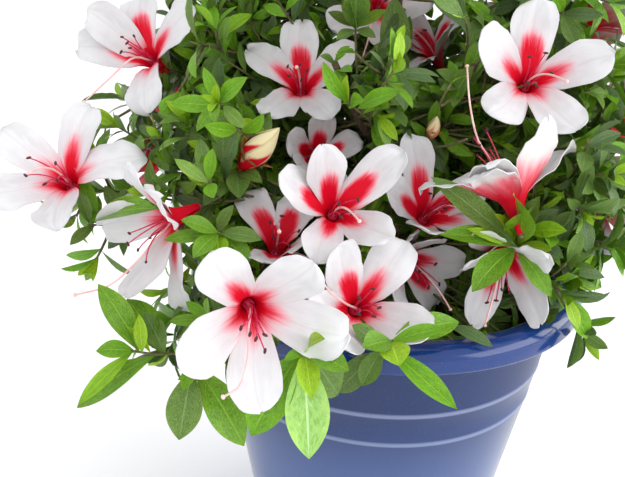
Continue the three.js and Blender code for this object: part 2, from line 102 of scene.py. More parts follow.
# Blooms and shoots, as in the frame
PETALS = 5
PETAL_REACH = (27, 33)
TUBE_LENGTH = 15
TWIG_IN_TUBE = 4
SPIRAL_SHOOTS = 68
SPIRAL_BOTTOM = -0.5
GOLDEN_ANGLE = math.pi * (3 - math.sqrt(5))
SHOOT_DEPTHS = (0.8, 0.95)
BLOOM_SPACING = 43
SHOOT_SPACING = 19
FRONT_EDGE = -22
FACE_ROOM = 24
FACE_DEPTH = 42

# Camera: where the photograph was taken from, and its picture in pixels
CAMERA_AT = (-35.5, -322, 291.5)
CAMERA_DOWN = 20
CAMERA_ROLL = 1.8
CAMERA_LENS = 39.74
SENSOR_WIDTH = 36
PICTURE_MIDDLE = (312.5, 238.5)
PICTURE_FOCUS = 690


def bloom(at, around, lift, turn, reach, home=None, point=0.5, blush=1, clear=0.6, **shape):
    """A bloom, where its throat stands. point is 0 for rounded lobes and 1 for pointed, blush is 0 for a
    small red throat and 2 for a large one, and clear is how much of its face no leaf hides. Its shape may
    give the pixels of its lobes' tips, of points along its pistil and of its anthers, which bend those to
    where the photograph shows them, and as face the way that it is drawn facing, where that isn't quite
    the frame's."""
    shape.update(turn=turn, reach=reach, point=point, blush=blush, clear=clear)
    return dict(kind="bloom", at=at, around=around, lift=lift, home=home, **shape)


def leafy(at, around, lift, home=None, **shape):
    """A leafy shoot. shown gives, for each leaf that stands out in the photograph, the pixel of its tip,
    how far the tip is nearer than the root, its width as a share of its length, its tint, and, where it
    isn't rooted at the twig's end, how far down the twig its root is. via is a place that its twig passes."""
    return dict(kind="leafy", at=at, around=around, lift=lift, home=home, **shape)


def bud(at, around, lift, **shape):
    return dict(kind="bud", at=at, around=around, lift=lift, home=None, **shape)


PLACED_SHOOTS = (
    bloom(
        (-55, -113, 24), 15, 8, 325, 33, point=0.3, blush=0,
        tips=((211, 253), (316, 264), (350, 334), (262, 412), (179, 369)),
        pistil=((249, 327), (247, 362), (239, 387), (223, 397)),
        anthers=((241, 328), (256, 339), (265, 335), (265, 351), (250, 334)),
    ),
    bloom(
        (-17, -86, 14), 14, 38, 336, 31, "front_left", point=0.4,
        tips=((340, 243), (309, 308), (405, 240), (434, 330), (340, 346)),
        pistil=((345, 303), (330, 292), (317, 273)),
    ),
    bloom(
        (-27, -65, 45), 8, 35, 349, 31, point=0.9, blush=2,
        tips=((322, 144), (279, 174), (404, 151), (395, 237), (318, 262)),
        anthers=((358, 200), (348, 211), (352, 214), (341, 217), (339, 203)),
    ),
    bloom(
        (-50, -57, 27), 10, 55, 310, 28, point=0.1, blush=2, clear=0.5,
        tips=((247, 190), (308, 200), (313, 234), (262, 262)),
        anthers=((282, 216), (273, 237), (299, 231), (290, 246)),
    ),
    bloom(
        (-92, -70, 40), -62, -8, 50, 33, face=(-46, -12),
        tips=((123, 164), (101, 226), (121, 297), (191, 313)),
        pistil=((140, 258), (110, 285), (75, 295)),
        anthers=((128, 244), (150, 238), (138, 250), (146, 262)),
    ),
    bloom((-136, -53, 51), -5, 45, 17, 33, "front_left", point=0.6, blush=0, tips=((92, 106), (147, 158))),
    bloom(
        (-112, -5, 95), -26, 30, 352, 33,
        tips=((144, -3), (84, 8), (75, 48), (194, 8), (148, 113)),
        pistil=((133, 58), (110, 78), (84, 102)),
        anthers=((122, 37), (134, 36), (130, 48), (121, 52), (127, 43)),
    ),
    bloom((-43, -8, 85), -4, 42, 357, 30, clear=0.42, tips=((302, 20), (247, 50), (355, 48))),
    bloom(
        (-35, -16, 55), 4, 25, 6, 23, point=0.6, blush=2, clear=0.4,
        tips=((326, 110), (289, 133), (298, 165)),
    ),
    bloom(
        (-8, 38, 118), -2, 24, 230, 31, "top", point=0.4, blush=0, clear=0.35,
        tips=((330, 28), (396, 46)), pistil=((372, 22), (367, 44), (361, 62)),
    ),
    bloom(
        (23, 45, 98), -50, 50, 303, 27, point=0.4, blush=2, clear=0.5,
        tips=((405, 5), (449, 22), (404, 38)),
    ),
    bloom((51, -33, 93), -4, 31, 6, 33, point=0.3, tips=((541, -5), (482, 31), (489, 112))),
    bloom(
        (40, -68, 54), -75, 58, 220, 33, "front", point=0.6, face=(-140, 64),
        tips=((417, 183), (548, 121), (484, 164)),
        pistil=((490, 160), (478, 140), (470, 105), (467, 66)),
        anthers=((486, 130), (473, 137), (477, 155), (489, 148), (480, 145)),
    ),
    bloom(
        (12, -47, 39), 6, 40, 355, 28, "front", point=0.6, blush=2, clear=0.5,
        tips=((408, 131), (385, 187), (431, 232), (494, 233)),
        pistil=((448, 205), (466, 211)), anthers=((456, 199), (450, 194), (452, 203), (445, 209)),
    ),
    bloom(
        (6, -42, 16), 30, 5, 240, 26, "front", point=0.4, blush=2, clear=0.4,
        tips=((395, 300), (436, 305), (465, 265), (411, 236), (444, 240)),
    ),
    bloom(
        (42, -60, 26), -18, -25, 194, 26, "front", point=0.4, clear=0.35,
        tips=((471, 331), (540, 325), (462, 272)),
    ),
    bud(
        (-65, -46, 57), 70, 25, face=(74, 47),
        shown=(
            (204, 104, 8, 0.4, 2), (192, 166, 8, 0.4, 2), (193, 183, 10, 0.36, 1), (203, 206, 12, 0.36, 1),
            (239, 199, 14, 0.5, 1), (262, 183, 10, 0.4, 0), (270, 112, 0, 0.4, 1), (222, 128, -4, 0.4, 2),
        ),
    ),
    leafy(
        (-100, -102, 1), -85, -8,
        shown=(
            (77, 408, 2, 0.29, 2, 10), (79, 404, 12, 0.22, 5), (96, 351, 4, 0.5, 3), (98, 284, 4, 0.34, 2),
            (139, 314, 6, 0.3, 6), (144, 313, -2, 0.5, 1, 13), (127, 299, -12, 0.45, 2, 12),
            (124, 320, 5, 0.2, 7),
        ),
    ),
    leafy(
        (-77, -107, -2), -25, -40,
        shown=((179, 440, 4, 0.5, 0), (183, 391, 12, 0.36, 3), (244, 446, 0, 0.38, 2)),
    ),
    leafy(
        (-36, -116, 10), 8, -15, "front_left",
        shown=(
            (325, 339, 14, 0.4, 6), (349, 371, 8, 0.52, 2), (284, 361, 6, 0.36, 3), (312, 399, 12, 0.42, 6),
            (309, 459, 4, 0.41, 8), (251, 436, 0, 0.42, 3), (338, 395, -14, 0.5, 0),
        ),
    ),
    leafy(
        (-6, -103, 9), 15, -5, "front_left", via=(-20, -88, -10),
        shown=(
            (363, 348, 10, 0.62, 2), (399, 366, 12, 0.78, 6), (445, 328, 8, 0.28, 3), (459, 322, -8, 0.36, 2),
            (457, 409, 12, 0.24, 3), (362, 386, 0, 0.5, 0), (352, 325, 4, 0.5, 1), (338, 392, -12, 0.4, 0),
        ),
    ),
    leafy(
        (44, -70, 34), 5, 15, "front",
        shown=(
            (431, 177, 8, 0.22, 1), (440, 235, 8, 0.27, 2), (467, 229, 12, 0.2, 6), (472, 292, 10, 0.4, 2),
            (513, 195, 36, 0.3, 2), (552, 250, 10, 0.4, 7), (551, 297, 8, 0.33, 2), (494, 214, 20, 0.24, 6),
            (540, 196, 20, 0.3, 1), (548, 228, 8, 0.3, 2), (529, 210, 34, 0.3, 2),
        ),
    ),
    leafy(
        (-71, -76, 38), -10, 22,
        shown=(
            (181, 220, 10, 0.4, 2), (193, 258, 12, 0.44, 2), (164, 240, 8, 0.3, 2), (262, 240, 2, 0.4, 1),
            (234, 205, 8, 0.34, 1), (250, 262, 4, 0.5, 2), (218, 262, 16, 0.4, 5), (206, 268, 4, 0.5, 3),
        ),
    ),
    leafy(
        (-130, -49, 30), -60, 10,
        shown=(
            (157, 209, 26, 0.28, 2), (78, 190, 6, 0.34, 1), (98, 196, -4, 0.4, 2), (70, 245, 6, 0.4, 1),
            (76, 172, 2, 0.3, 3),
        ),
    ),
    leafy((-94, -82, 4), -70, -10),
    leafy((76, -62, 62), 30, 15),
    leafy((90, -56, 30), 45, -5),
    leafy((66, -70, 14), 25, -15),
    leafy((22, -62, 74), 5, 25),
    bloom((36, 0, 143), 70, 62, 20, 31),
    bloom((-28, 20, 146), -110, 66, 60, 30),
    leafy((4, -8, 150), 10, 72),
)

# Low sprays before the soil: where each ends, and the mass that it grows from
LOW_SPRAYS = (
    ((22, -72, -6), "front"),
    ((46, -62, -8), "front"),
    ((34, -50, 2), "front"),
    ((8, -66, -4), "front"),
    ((62, -42, -4), "front_right"),
    ((58, -60, 2), "front"),
    ((-6, -78, -6), "front"),
    ((-40, -62, -8), "front_left"),
    ((-62, -40, -8), "front_left"),
    ((74, -18, -4), "right"),
)

# Sprays between the photograph's blooms: the pixel that each ends at, how deep it lies, and its greens.
# One without room is tried again a step deeper, and one ends in a small spent bud.
SEEN_SPRAYS = (
    (376, 92, 300, 0), (356, 114, 302, 0), (398, 112, 298, 0), (442, 112, 292, 0), (455, 92, 290, 0),
    (428, 72, 302, 2), (350, 66, 314, 0), (396, 78, 304, 0), (405, 148, 290, 0), (430, 139, 292, 0),
    (470, 60, 300, 1), (385, 132, 292, 1), (225, 60, 300, 1), (205, 28, 305, 2), (248, 20, 310, 1),
    (182, 88, 296, 0), (190, 122, 288, 1), (214, 152, 282, 0), (236, 108, 290, 1), (258, 128, 290, 1),
    (164, 140, 290, 0), (222, 90, 292, 2), (176, 172, 284, 0), (212, 186, 276, 0), (246, 212, 290, 0),
    (150, 195, 280, 1), (120, 128, 296, 0), (345, 262, 296, 0), (385, 236, 296, 1), (478, 254, 296, 0),
    (448, 284, 300, 1), (300, 135, 318, 0), (345, 22, 345, 1), (300, 12, 322, 1), (470, 20, 318, 0),
    (452, 306, 290, 1), (488, 310, 284, 0), (468, 324, 276, 1), (186, 300, 260, 1), (196, 276, 268, 0),
    (168, 290, 266, 2), (206, 318, 256, 1), (330, 72, 322, 0), (440, 30, 330, 0), (415, 60, 330, 0),
    (490, 140, 296, 0), (472, 108, 300, 2), (575, 120, 290, 0), (590, 90, 292, 1), (600, 150, 280, 2),
)
SPRAY_STEP = 8
SPRAY_TRIES = 5
SPENT_BUD = 9


# Leaves on limbs that would show bare: the mass, its limb, where on it the first is rooted, and then as in
# a leafy shoot
LIMB_LEAVES = (
    (
        "upper_front_left", "stem", 1,
        ((350, 46, 6, 0.4, 2), (320, 56, 8, 0.4, 1), (343, 90, 10, 0.4, 2), (352, 72, 12, 0.36, 3)),
    ),
    (
        "top", "bough", 0.8,
        ((410, 16, 8, 0.36, 1), (386, 34, 12, 0.36, 0), (401, 40, 14, 0.36, 1), (394, -4, 14, 0.36, 1)),
    ),
    (
        "upper_front_right", "stem", 0.6,
        (
            (440, 90, 6, 0.36, 1), (436, 70, 8, 0.36, 0), (453, 108, 8, 0.36, 1), (449, 60, 6, 0.36, 2),
            (488, 50, 6, 0.36, 1),
        ),
    ),
    (
        "upper_front_right", "bough", 1,
        (
            (474, 66, 25, 0.36, 1), (476, 124, 8, 0.36, 2), (460, 92, 20, 0.42, 2), (414, 116, 8, 0.36, 1),
            (455, 106, 20, 0.4, 0), (452, 152, 8, 0.4, 0), (444, 118, 20, 0.42, 1), (404, 148, 8, 0.36, 2),
        ),
    ),
)
LIMB_LEAF_STEP = 0.06

# Leaves before the tube of one of the spiral's blooms, by the number of its shoot
SPIRAL_LEAVES = {
    37: (
        (356, -18, 21, 0.45, 1, 8), (342, -4, 10, 0.42, 2, 7), (371, -2, 10, 0.42, 0, 7),
        (328, 12, 4, 0.38, 1, 7), (386, 10, 4, 0.38, 2, 7), (336, 40, 6, 0.4, 0, 8),
        (376, 38, 6, 0.4, 1, 8), (350, 2, 18, 0.4, 2, 8),
    ),
}

# Places that no loose leaf hides: the pixel of each, how deep it lies, and its radius
KEPT_CLEAR = (
    (262, 150, 278, 9), (468, 72, 248, 4), (469, 95, 248, 4), (473, 120, 248, 4), (482, 142, 252, 6),
    (367, 40, 325, 5), (362, 60, 325, 4), (430, 133, 288, 6), (490, 130, 250, 5),
)

# The single leaf that hangs over the rim: where its twig ends, and then as in a leafy shoot. Its tint is a
# dark one, as painted shade of the leaves above it.
RIM_LEAF_ROOT = (18, -80, 4)
RIM_LEAF = (493, 347, 8, 0.26, 9)


# ---------- Numbers and directions

# The seeded stream of numbers, as in the frame's source
WORD = 2**32
SEED_STEP, SEED_START = 7919, 12345
STREAM_FACTOR, STREAM_STEP = 1664525, 1013904223
# The first seed of each use
SEEDS = dict(
    spiral=100, twigs=500, leaves=3000, low=4000, seen=4100, bud=4200, rim=4201, limbs=4300, masses=5000,
    blooms=7000,
)
GOLDEN_TURN = 137.5


def random_stream(use, number=0):
    state = ((SEEDS[use] + number) * SEED_STEP + SEED_START) % WORD

    def step():
        nonlocal state
        state = (state * STREAM_FACTOR + STREAM_STEP) % WORD
        return state / WORD

    step()
    step()
    return step


def mix(span, share):
    return span[0] + (span[1] - span[0]) * share


def over_rim(at):
    return Vector((at[0], at[1], POT_HEIGHT + at[2]))


def towards(around, lift):
    a, e = math.radians(around), math.radians(lift)
    return Vector((math.sin(a) * math.cos(e), -math.cos(a) * math.cos(e), math.sin(e)))


def camera_axes():
    """The ways that the camera looks, and that its picture's right and top point."""
    down, roll = math.radians(CAMERA_DOWN), math.radians(CAMERA_ROLL)
    forward = Vector((0, math.cos(down), -math.sin(down)))
    right, up = Vector((1, 0, 0)), Vector((0, math.sin(down), math.cos(down)))
    across = right * math.cos(roll) + up * math.sin(roll)
    return forward, across, up * math.cos(roll) - right * math.sin(roll)


CAMERA = Vector(CAMERA_AT)
FORWARD, ACROSS, UPWARD = camera_axes()


def seen_at(pixel, depth):
    """The place that a pixel shows at a depth in front of the camera."""
    x = (pixel[0] - PICTURE_MIDDLE[0]) / PICTURE_FOCUS
    y = (PICTURE_MIDDLE[1] - pixel[1]) / PICTURE_FOCUS
    return CAMERA + (FORWARD + ACROSS * x + UPWARD * y) * depth


def depth_of(point):
    return (point - CAMERA).dot(FORWARD)


def measured(point, start, way):
    """How far a point lies along a way from a start, and how far beside it."""
    away = point - start
    ahead = away.dot(way)
    return ahead, (away - way * ahead).length


def reached(pixel, start, length, axis, rise):
    """Of the two places that a pixel shows at a distance from a start, the one whose rise along an axis
    is closer to rise."""
    way = (seen_at(pixel, 1) - CAMERA).normalized()
    along, beside = measured(start, CAMERA, way)
    if beside >= length:
        return CAMERA + way * along
    half = math.sqrt(length * length - beside * beside)
    ends = [CAMERA + way * (along + side * half) for side in (-1, 1)]
    return min(ends, key=lambda p: abs((p - start).dot(axis) - rise))


def cross_frame(axis):
    side = Vector((0, 0, 1)).cross(axis)
    if side.length < 1e-3:
        side = Vector((1, 0, 0))
    side.normalize()
    return side, axis.cross(side)


def radial(axis, degrees):
    side, top = cross_frame(axis)
    a = math.radians(degrees)
    return top * math.cos(a) + side * math.sin(a)


def leaning(axis, out, degrees):
    lean = math.radians(degrees)
    return (axis * math.cos(lean) + out * math.sin(lean)).normalized()


def strayed(axis, k, ways, random):
    """The way of the k-th of some leaves or twigs round an axis. ways are the turn from each to the next
    and how far it strays, and then the lean away from the axis and how far it strays."""
    turn, turn_strays, lean, lean_strays = ways
    out = radial(axis, turn * k + turn_strays * random())
    return leaning(axis, out, lean + lean_strays * random())


def smoothstep(low, high, value):
    share = np.clip((value - low) / (high - low), 0, 1)
    return share * share * (3 - 2 * share)


def laid_out(start, *parts):
    """Grids of points: from a start, how far along each of some ways."""
    points = np.array(start)
    for far, way in parts:
        points = points + far[..., None] * np.array(way)
    return points


class Path:
    """A curve as close points, measured along its length."""

    def __init__(self, points):
        self.points = np.array([tuple(p) for p in points])
        spans = np.linalg.norm(np.diff(self.points, axis=0), axis=1)
        self.run = np.concatenate([[0], np.cumsum(spans)])
        self.length = float(self.run[-1])

    def at(self, t):
        return Vector([float(np.interp(t * self.length, self.run, self.points[:, k])) for k in range(3)])

    def way(self, t):
        return (self.at(min(t + 0.01, 1)) - self.at(max(t - 0.01, 0))).normalized()

    def part(self, end, count=14):
        return Path([self.at(end * i / count) for i in range(count + 1)])


def bent(start, bend, end, count=24):
    shares = [i / count for i in range(count + 1)]
    return Path([start * (1 - t) ** 2 + bend * 2 * t * (1 - t) + end * t * t for t in shares])


def through(points, count=20):
    """A smooth curve through points, spaced by the square root of their distances."""
    ends = [points[0] * 2 - points[1], *points, points[-1] * 2 - points[-2]]
    course = []
    for p0, p1, p2, p3 in zip(ends, ends[1:], ends[2:], ends[3:]):
        d0, d1, d2 = [math.sqrt((a - b).length) for a, b in ((p0, p1), (p1, p2), (p2, p3))]
        t1 = ((p1 - p0) / d0 - (p2 - p0) / (d0 + d1) + (p2 - p1) / d1) * d1
        t2 = ((p2 - p1) / d1 - (p3 - p1) / (d1 + d2) + (p3 - p2) / d2) * d1
        for i in range(count):
            s = i / count
            cubic = (p1 - p2) * 2 + t1 + t2
            square = (p2 - p1) * 3 - t1 * 2 - t2
            course.append(p1 + t1 * s + square * s * s + cubic * s**3)
    return Path([*course, points[-1]])


# ---------- Meshes

FLAT_MAP = "OFBake"


def linked(name, data):
    made = bpy.data.objects.new(name, data)
    bpy.context.scene.collection.objects.link(made)
    return made


class Sheets:
    """Points, faces and flat-map places of many small shapes that are joined into one mesh."""

    def __init__(self):
        self.points, self.faces, self.places, self.total = [], [], [], 0

    def add(self, points, faces, places=None):
        points = np.array([tuple(p) for p in points], dtype=float)
        self.points.append(points)
        self.faces += [[i + self.total for i in face] for face in faces]
        self.places.append(np.zeros((len(points), 2)) if places is None else places)
        self.total += len(points)

    def build(self, name, material, slot, mapped=True):
        mesh = bpy.data.meshes.new(name)
        mesh.from_pydata((np.concatenate(self.points) * MM).tolist(), [], self.faces)
        places = np.concatenate(self.places)
        if mapped and places.any():
            corners = np.empty(len(mesh.loops), dtype=int)
            mesh.loops.foreach_get("vertex_index", corners)
            layer = mesh.uv_layers.new(name=FLAT_MAP)
            layer.data.foreach_set("uv", places[corners].ravel())
        mesh.shade_smooth()
        mesh.materials.append(material)
        mesh.validate()
        piece = linked(name, mesh)
        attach(piece, "root")
        return piece


def round_angles(sides):
    return [2 * math.pi * k / sides for k in range(sides)]


def ring_faces(rings, sides, start=0):
    """Four-sided faces between closed rings of points."""
    faces = []
    for first in range(start, start + (rings - 1) * sides, sides):
        for k in range(sides):
            a, b = first + k, first + (k + 1) % sides
            faces.append([a, b, b + sides, a + sides])
    return faces


def end_faces(rings, sides):
    """The faces that close the first and the last of some rings of points."""
    last = (rings - 1) * sides
    return [list(range(sides))[::-1], list(range(last, last + sides))]


def grid_faces(rows, columns, flip=False, start=0):
    faces = []
    for r in range(rows - 1):
        for c in range(columns - 1):
            i = start + r * columns + c
            face = [i, i + 1, i + 1 + columns, i + columns]
            faces.append(face[::-1] if flip else face)
    return faces


def cross_sections(path, steps):
    """Two ways across a curve at even steps, without twist."""
    ways = [path.way(i / steps) for i in range(steps + 1)]
    parts = [abs(c) for c in ways[0]]
    first = Vector([1.0 if k == max(range(3), key=lambda n: (-parts[n], n)) else 0.0 for k in range(3)])
    normal = ways[0].cross(ways[0].cross(first).normalized())
    sections = []
    for before, way in zip([ways[0], *ways], ways):
        normal = (before.rotation_difference(way) @ normal).normalized()
        sections.append((normal, way.cross(normal)))
    return sections


def add_tube(sheets, path, radius_at, sides, steps):
    """A closed tube. radius_at gives its radius at a share of its length and an angle round it."""
    points = []
    for i, (normal, binormal) in enumerate(cross_sections(path, steps)):
        t = i / steps
        centre = path.at(t)
        for angle in round_angles(sides):
            out = normal * math.cos(angle) + binormal * math.sin(angle)
            points.append(centre + out * radius_at(t, math.atan2(math.sin(angle), math.cos(angle))))
    sheets.add(points, ring_faces(steps + 1, sides) + end_faces(steps + 1, sides))


def thinning(radius, loss):
    """The radius of a limb that is round and thins evenly."""
    return lambda t, _: radius - loss * t


def add_ball(sheets, centre, radius, axis, stretch=1.0, rings=4, sides=6):
    side, top = cross_frame(axis)
    points = [centre - axis * radius * stretch]
    for r in range(1, rings):
        a = math.pi * r / rings
        for b in round_angles(sides):
            flat = (side * math.cos(b) + top * math.sin(b)) * radius * math.sin(a)
            points.append(centre + flat - axis * radius * stretch * math.cos(a))
    points.append(centre + axis * radius * stretch)
    last = len(points) - 1
    faces = [[0, 1 + (k + 1) % sides, 1 + k] for k in range(sides)]
    faces += ring_faces(rings - 1, sides, 1)
    faces += [[last, last - sides + k, last - sides + (k + 1) % sides] for k in range(sides)]
    sheets.add(points, faces)


# ---------- Materials


class Value:
    """What a node gives. Sums, products and the like make further nodes."""

    def __init__(self, nodes, socket):
        self.nodes, self.socket = nodes, socket

    def math(self, operation, other=0.0):
        return self.nodes.value("ShaderNodeMath", {0: self, 1: other}, operation=operation)

    def __add__(self, other):
        return self.math("ADD", other)

    def __sub__(self, other):
        return self.math("SUBTRACT", other)

    def __mul__(self, other):
        return self.math("MULTIPLY", other)

    def __truediv__(self, other):
        return self.math("DIVIDE", other)

    def most(self, other):
        return self.math("MAXIMUM", other)

    def smooth(self, low, high):
        """0 below low and 1 above high, smoothly; low may be the larger."""
        inputs = {"Value": self, "From Min": low, "From Max": high}
        return self.nodes.value("ShaderNodeMapRange", inputs, interpolation_type="SMOOTHSTEP")


class Nodes:
    """A material and short ways to join its nodes."""

    def __init__(self, name, roughness, **settings):
        self.material = bpy.data.materials.new(name)
        self.material.use_nodes = True
        self.tree = self.material.node_tree
        self.shader = self.tree.nodes["Principled BSDF"]
        for key, value in dict(settings, Roughness=roughness).items():
            self.shader.inputs[key.replace("_", " ")].default_value = value

    def put(self, socket, value):
        if isinstance(value, Value):
            self.tree.links.new(value.socket, socket)
        elif isinstance(value, tuple) and socket.type == "RGBA":
            socket.default_value = (*value, 1)
        else:
            socket.default_value = value

    def value(self, kind, inputs=(), output=0, **settings):
        made = self.tree.nodes.new(kind)
        for key, setting in settings.items():
            setattr(made, key, setting)
        for key, given in dict(inputs).items():
            self.put(made.inputs[key], given)
        return Value(self, made.outputs[output])

    def blend(self, share, a, b, blend_type="MIX"):
        inputs = {0: share, 6: a, 7: b}
        return self.value("ShaderNodeMix", inputs, 2, data_type="RGBA", blend_type=blend_type)

    def stretch(self, vector, scale):
        return self.value("ShaderNodeMapping", {"Vector": vector, "Scale": scale})

    def noise(self, vector, scale, detail=2.0, roughness=0.5):
        inputs = {"Vector": vector, "Scale": scale, "Detail": detail, "Roughness": roughness}
        return self.value("ShaderNodeTexNoise", inputs)

    def grain(self, uv, across, along, detail=2.0):
        """Noise on the flat map, so fine across and along."""
        return self.noise(self.stretch(uv, (across, along, 1)), 1.0, detail)

    def ramp(self, share, stops, interpolation="LINEAR"):
        made = self.value("ShaderNodeValToRGB", {0: share})
        ramp = made.socket.node.color_ramp
        ramp.interpolation = interpolation
        while len(ramp.elements) < len(stops):
            ramp.elements.new(0.5)
        for element, (place, colour) in zip(ramp.elements, stops):
            element.position = place
            element.color = (*colour, 1)
        return made

    def position(self):
        return self.value("ShaderNodeNewGeometry")

    def tile(self, columns, rows):
        """Which tile of the flat map a point lies in, and the place in it."""
        uv = self.value("ShaderNodeUVMap", uv_map=FLAT_MAP)
        x, y = [
            self.value("ShaderNodeSeparateXYZ", {0: uv}, k) * count for k, count in enumerate((columns, rows))
        ]
        return uv, x.math("FLOOR"), y.math("FLOOR"), x.math("FRACT"), y.math("FRACT")

    def bump(self, height, strength, distance):
        inputs = {"Height": height, "Strength": strength, "Distance": distance * MM}
        self.put(self.shader.inputs["Normal"], self.value("ShaderNodeBump", inputs))

    def colour(self, value):
        self.put(self.shader.inputs["Base Color"], value)
        return self.material


TILE_MARGIN = 0.04


def in_tile(u, v, column, row, columns, rows):
    """Flat-map places, from 0..1 across and along, in one tile."""
    inner = 1 - 2 * TILE_MARGIN
    x = (column + TILE_MARGIN + inner * np.asarray(u)) / columns
    y = (row + TILE_MARGIN + inner * np.asarray(v)) / rows
    return np.stack([x, y], axis=-1)


CRIMSON = (0.68, 0.002, 0.02)
DEEP_CRIMSON = (0.36, 0.001, 0.008)
PINK = (0.85, 0.17, 0.24)
PETAL_WHITE = (0.715, 0.715, 0.735)
PETAL_SHADE = (0.575, 0.57, 0.6)
BACK_WHITE = (0.7, 0.68, 0.68)
BUD_CREAM = (0.86, 0.76, 0.45)
SALMON = (0.78, 0.3, 0.14)
PETAL_TILES = (5, 2)
# For each tile across: where it starts, how far its blotch reaches, and how fast that falls off to the sides
BLOTCHES = ((0.0, 0.59, 1.0), (0.2, 0.52, 0.8), (0.4, 0.46, 0.5), (0.6, 0.41, 0.2), (0.8, 0.41, 0.2))
BLOTCH_ROUNDNESS = 1.6
THROAT_ENDS = 0.395
# Buds have the last tile across, in two rows
BUD_TILE = 4
SALMON_BUD, CRIMSON_BUD = 0, 1
# The tiles of a bloom's five lobes, for each blush
BLUSH_TILES = ((2, 3, 3, 3, 3), (0, 2, 3, 3, 2), (0, 1, 2, 2, 1))


def petal_material():
    """White lobes whose crimson throat fades out through pink, furthest on the uppermost lobe."""
    n = Nodes("petals", 0.55, Specular_IOR_Level=0.15)
    uv, column, row, u, v = n.tile(*PETAL_TILES)
    across = (u - 0.5).math("ABSOLUTE")
    place = (column + 0.01) / PETAL_TILES[0]
    reach, narrows = [n.ramp(place, [(b[0], (b[k],) * 3) for b in BLOTCHES], "CONSTANT") for k in (1, 2)]
    streaks, fine, clouds = n.grain(uv, 110, 5, 3.0), n.grain(uv, 230, 12, 3.0), n.grain(uv, 22, 7)
    ragged = v + (streaks - 0.5) * 0.08 + (clouds - 0.5) * 0.15
    ends = reach - across.math("POWER", BLOTCH_ROUNDNESS) * narrows
    past = ragged - ends.most(THROAT_ENDS)
    veins = fine.smooth(0.45, 0.62) * v.smooth(1.0, 0.4)
    midrib = across.smooth(0.05, 0.0)
    # Painted shade: the white greys along the veins and the midrib and in soft clouds.
    shade = (veins * 0.35).most(midrib * 0.4).most(clouds.smooth(0.42, 0.68) * 0.55)
    white = n.blend(shade, PETAL_WHITE, PETAL_SHADE)
    blushed = n.blend(past.smooth(0.2, 0.0) * 0.08, white, PINK)
    pinked = n.blend(past.smooth(0.065, -0.05) * 0.95, blushed, PINK)
    mottled = past + fine.smooth(0.52, 0.66) * 0.03
    red = n.blend(mottled.smooth(0.015, -0.09), pinked, CRIMSON)
    red = n.blend(v.smooth(0.22, 0.06), red, DEEP_CRIMSON)
    cells = n.value("ShaderNodeTexVoronoi", {"Vector": n.stretch(uv, (180, 60, 1)), "Scale": 1.0})
    zone = v.smooth(0.36, 0.42) * v.smooth(0.54, 0.46) * (across.smooth(0.22, 0.1) * 0.6)
    is_upper = column.math("LESS_THAN", 0.5)
    front = n.blend(cells.smooth(0.3, 0.2) * zone * is_upper, red, DEEP_CRIMSON)
    back_past = v + (clouds - 0.5) * 0.2
    back = n.blend(back_past.smooth(0.66, 0.42), BACK_WHITE, PINK)
    back = n.blend(back_past.smooth(0.56, 0.34), back, CRIMSON)
    is_back = row.math("GREATER_THAN", 0.5)
    flame = v + (clouds - 0.5) * 0.7 - u.smooth(0.55, 0.95) * 0.34
    closed = n.blend(flame.smooth(0.42, 0.26), BUD_CREAM, n.blend(is_back, SALMON, CRIMSON))
    is_bud = column.math("GREATER_THAN", BUD_TILE - 0.5)
    n.bump(clouds * 1.4 + fine, 0.25, 0.4)
    return n.colour(n.blend(is_bud, n.blend(is_back, front, back), closed))


LEAF_TILES = (4, 3)
LEAF_TINTS = (
    (0.105, 0.21, 0.03), (0.145, 0.285, 0.02), (0.12, 0.295, 0.006), (0.135, 0.36, 0.004),
    (0.17, 0.27, 0.07), (0.2, 0.43, 0.006), (0.27, 0.5, 0.008), (0.38, 0.58, 0.02),
    (0.32, 0.6, 0.14), (0.075, 0.15, 0.04), (0.24, 0.29, 0.02), (0.19, 0.36, 0.05),
)
# What a tint is multiplied by for its veins, for its lighter parts, which are random and also painted fold
# shading that is lighter towards the leaf's edges, and for its darker mottles
LEAF_SHADES = ((1.9, 1.5, 3.0), (1.3, 1.16, 1.1), (0.74, 0.76, 0.64))
LEAF_HAIR = (0.46, 0.6, 0.24)
VEIN_SLANT = -0.75
VEIN_WAVES = 48.0


def leaf_material():
    """Leathery leaves: a pale midrib and side veins, a pale hairy rim, fine hairs, soft mottling and painted
    fold shading that leaves them lighter towards their edges, in twelve tints."""
    n = Nodes("leaves", 0.3, Specular_IOR_Level=0.3)
    uv, column, row, u, v = n.tile(*LEAF_TILES)
    across = (u - 0.5).math("ABSOLUTE")
    place = (row * LEAF_TILES[0] + column + 0.02) / len(LEAF_TINTS)
    tint = n.ramp(place, [(i / len(LEAF_TINTS), tint) for i, tint in enumerate(LEAF_TINTS)], "CONSTANT")
    pale, light, dark = [n.blend(1.0, tint, factor, "MULTIPLY") for factor in LEAF_SHADES]
    wander, mottle = n.grain(uv, 24, 20), n.grain(uv, 56, 46, 4.0)
    slanted = across * VEIN_SLANT + v + (wander - 0.5) * 0.16
    side_veins = (slanted * VEIN_WAVES).math("SINE").smooth(0.86, 1.0)
    midrib = across.smooth(0.04, 0.01)
    rim = across.smooth(0.44, 0.5)
    hairs = n.grain(uv, 190, 130, 1.0).smooth(0.55, 0.68)
    # Painted fold shading: random, and made lighter towards the leaf's edges and darker by the midrib.
    patches_and_painted_edge_light = (wander - 0.5) * 1.6 + across * 1.5
    body = n.blend(mottle.smooth(0.36, 0.6), dark, tint)
    body = n.blend(patches_and_painted_edge_light.smooth(0.2, 0.8) * 0.8, body, light)
    veined = n.blend((side_veins * 0.35).most(midrib * 0.75), body, pale)
    n.bump(mottle - side_veins.most(midrib) * 0.7, 0.6, 0.5)
    return n.colour(n.blend((rim * 0.5).most(hairs * 0.32), veined, LEAF_HAIR))


